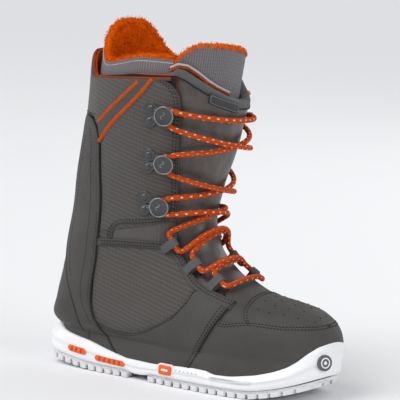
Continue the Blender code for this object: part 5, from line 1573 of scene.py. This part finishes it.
def build_lace():
    bar = over(loop_point(2, -1, 12), loop_point(2, 1, 12), LACE_LOW, VAMP_WAY)
    lace("lace_lower", ease(smooth(lace_half(-1)[::-1] + bar + lace_half(1), 420), 30), FOOT, "lace_lower")
    ankle_bend = ((150.0, 0.0, 139.0), (150.0, 0.0, 172.0))
    for k, side in (("a", -1), ("b", 1)):
        lift = LACE_LOW if side < 0 else LACE_HIGH
        ankle = smooth(over(loop_point(0, side, -10), hook_point(2, -side, -75), lift, ANKLE_WAY), 120)
        lace(f"lace_ankle_{k}", ankle, ((FOOT, CUFF), ankle_bend), f"lace_ankle_{k}")
        path, here = [], -side
        for i in (2, 1, 0):
            path += [hook_point(i, here, turn) for turn in (-75, -110, -150, 180, 150, 110, 75)]
            if i:
                lift = LACE_LOW if here < 0 else LACE_HIGH
                path += over(hook_point(i, here, 75), hook_point(i - 1, -here, -75), lift, SHIN_WAY)[1:-1]
                here = -here
        if here < 0:
            end = hook_point(0, 1, 45) + (18, 4, -10)
            path += over(hook_point(0, here, 75), end, LACE_LOW, SHIN_WAY)[1:]
        else:
            tail = hook_point(0, here, 45)
            path += [tail + (8, 1, 7), tail + (16, -1, 12)]
        lace(f"lace_upper_{k}", ease(smooth(path, 420), 8), ((CUFF, TONGUE), LACE_BEND), f"lace_upper_{k}")


# ---- woven tape on the cuff, and the parts inside that keep their CAD solids ------------------------
def build_tape():
    high = [(57, 250), (72, 264), (90, 280.5), (105, 295)]
    low = [(60.5, 228), (76, 246), (90, 260), (106, 276), (123, 296)]
    tape = Panel(flank(high, low, -1), -3.6, -2.2, rows=12, cols=60)
    tape.build("cuff_tape_lateral", TAPE, CUFF, ["cuff_tape_lateral"], "tape")
    lines = []
    for tag, edge, by in (("upper", high, 3.8), ("lower", low, -3.8)):
        strip = Panel(flank(edge, offset_edge(edge, by), -1), -4.3, -3.0, rows=3, cols=60)
        strip.build(f"cuff_tape_edge_{tag}", EDGING, CUFF, slot="lining")
        lines += [strip.run("a", 1.0, start=0.01, end=0.99), strip.run("a", 2.7, start=0.01, end=0.99)]
    seam("cuff_tape_stitches", lines, THREAD, CUFF, pitch=2.1, share=0.5, radius=0.3)


def dress(node, mat):
    for o in bpy.data.objects:
        if o.type == "MESH" and o.name.split(".")[0] == node and not o.get("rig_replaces"):
            o.data.materials.clear()
            o.data.materials.append(mat)


def build_room():
    bpy.ops.mesh.primitive_plane_add(size=60, location=(0, 0, -0.0005))
    floor = bpy.context.object
    floor.name = "floor"
    mat = bpy.data.materials.new("floor_white")
    mat.use_nodes = True
    bsdf = mat.node_tree.nodes["Principled BSDF"]
    bsdf.inputs["Base Color"].default_value = (0.86, 0.86, 0.87, 1)
    bsdf.inputs["Roughness"].default_value = 0.9
    bsdf.inputs["Specular IOR Level"].default_value = 0.15
    floor.data.materials.append(mat)
    world_sky = bpy.data.worlds.new("studio")
    world_sky.use_nodes = True
    glow = world_sky.node_tree.nodes["Background"].inputs
    glow["Color"].default_value = (0.95, 0.97, 1.0, 1)
    glow["Strength"].default_value = 0.44
    bpy.context.scene.world = world_sky
    sky = bpy.data.lights.new("overhead", "SUN")
    sky.energy, sky.angle = 1.8, math.radians(45)
    obj = bpy.data.objects.new("overhead", sky)
    obj.rotation_euler = Vector((0.40, 0.75, -1.0)).to_track_quat("-Z", "Y").to_euler()
    bpy.context.scene.collection.objects.link(obj)
    for name, spot, size, power in (("left_box", (-2.2, -0.9, 0.9), 1.4, 10.0),
                                    ("right_box", (1.7, -0.4, 0.8), 1.1, 10.0),
                                    ("rear_box", (0.3, 2.0, 1.2), 1.6, 8.0)):
        lamp = bpy.data.lights.new(name, "AREA")
        lamp.shape, lamp.size, lamp.energy = "DISK", size, power
        obj = bpy.data.objects.new(name, lamp)
        obj.location = spot
        way = Vector((0.0, 0.0, 0.16)) - Vector(spot)
        obj.rotation_euler = way.to_track_quat("-Z", "Y").to_euler()
        bpy.context.scene.collection.objects.link(obj)


def build_camera():
    az, el, roll, far = math.radians(31.76), math.radians(8.35), math.radians(2.52), 3.11
    back = Vector((math.sin(az) * math.cos(el), -math.cos(az) * math.cos(el), math.sin(el)))
    right = Vector((math.cos(az), math.sin(az), 0))
    up = back.cross(right)
    x_axis = right * math.cos(roll) + up * math.sin(roll)
    y_axis = up * math.cos(roll) - right * math.sin(roll)
    cam = bpy.data.cameras.new("camera")
    cam.lens, cam.sensor_width = 287.1, 36.0
    cam.shift_x, cam.shift_y = -0.021, 0.0325
    cam.clip_end = 100.0
    obj = bpy.data.objects.new("camera", cam)
    spot = Vector((0.0082, 0.0, 0.165)) + back * far
    rows = [[a, b, c, d] for a, b, c, d in zip(x_axis, y_axis, back, spot)]
    obj.matrix_world = Matrix(rows + [[0, 0, 0, 1]])
    bpy.context.scene.collection.objects.link(obj)
    bpy.context.scene.camera = obj
    bpy.context.scene.view_settings.view_transform = "Standard"


def main():
    build_camera()
    build_room()
    build_sole()
    build_base()
    for name, side in (("lateral", -1), ("medial", 1)):
        build_side(name, side)
    build_back()
    build_toe()
    build_tape()
    build_tongue()
    build_liner()
    build_liner_tongue()
    build_hooks()
    build_loops()
    build_lace()
    dress("lasting_board", BOARD)
    dress("footbed", FOOTBED)


main()
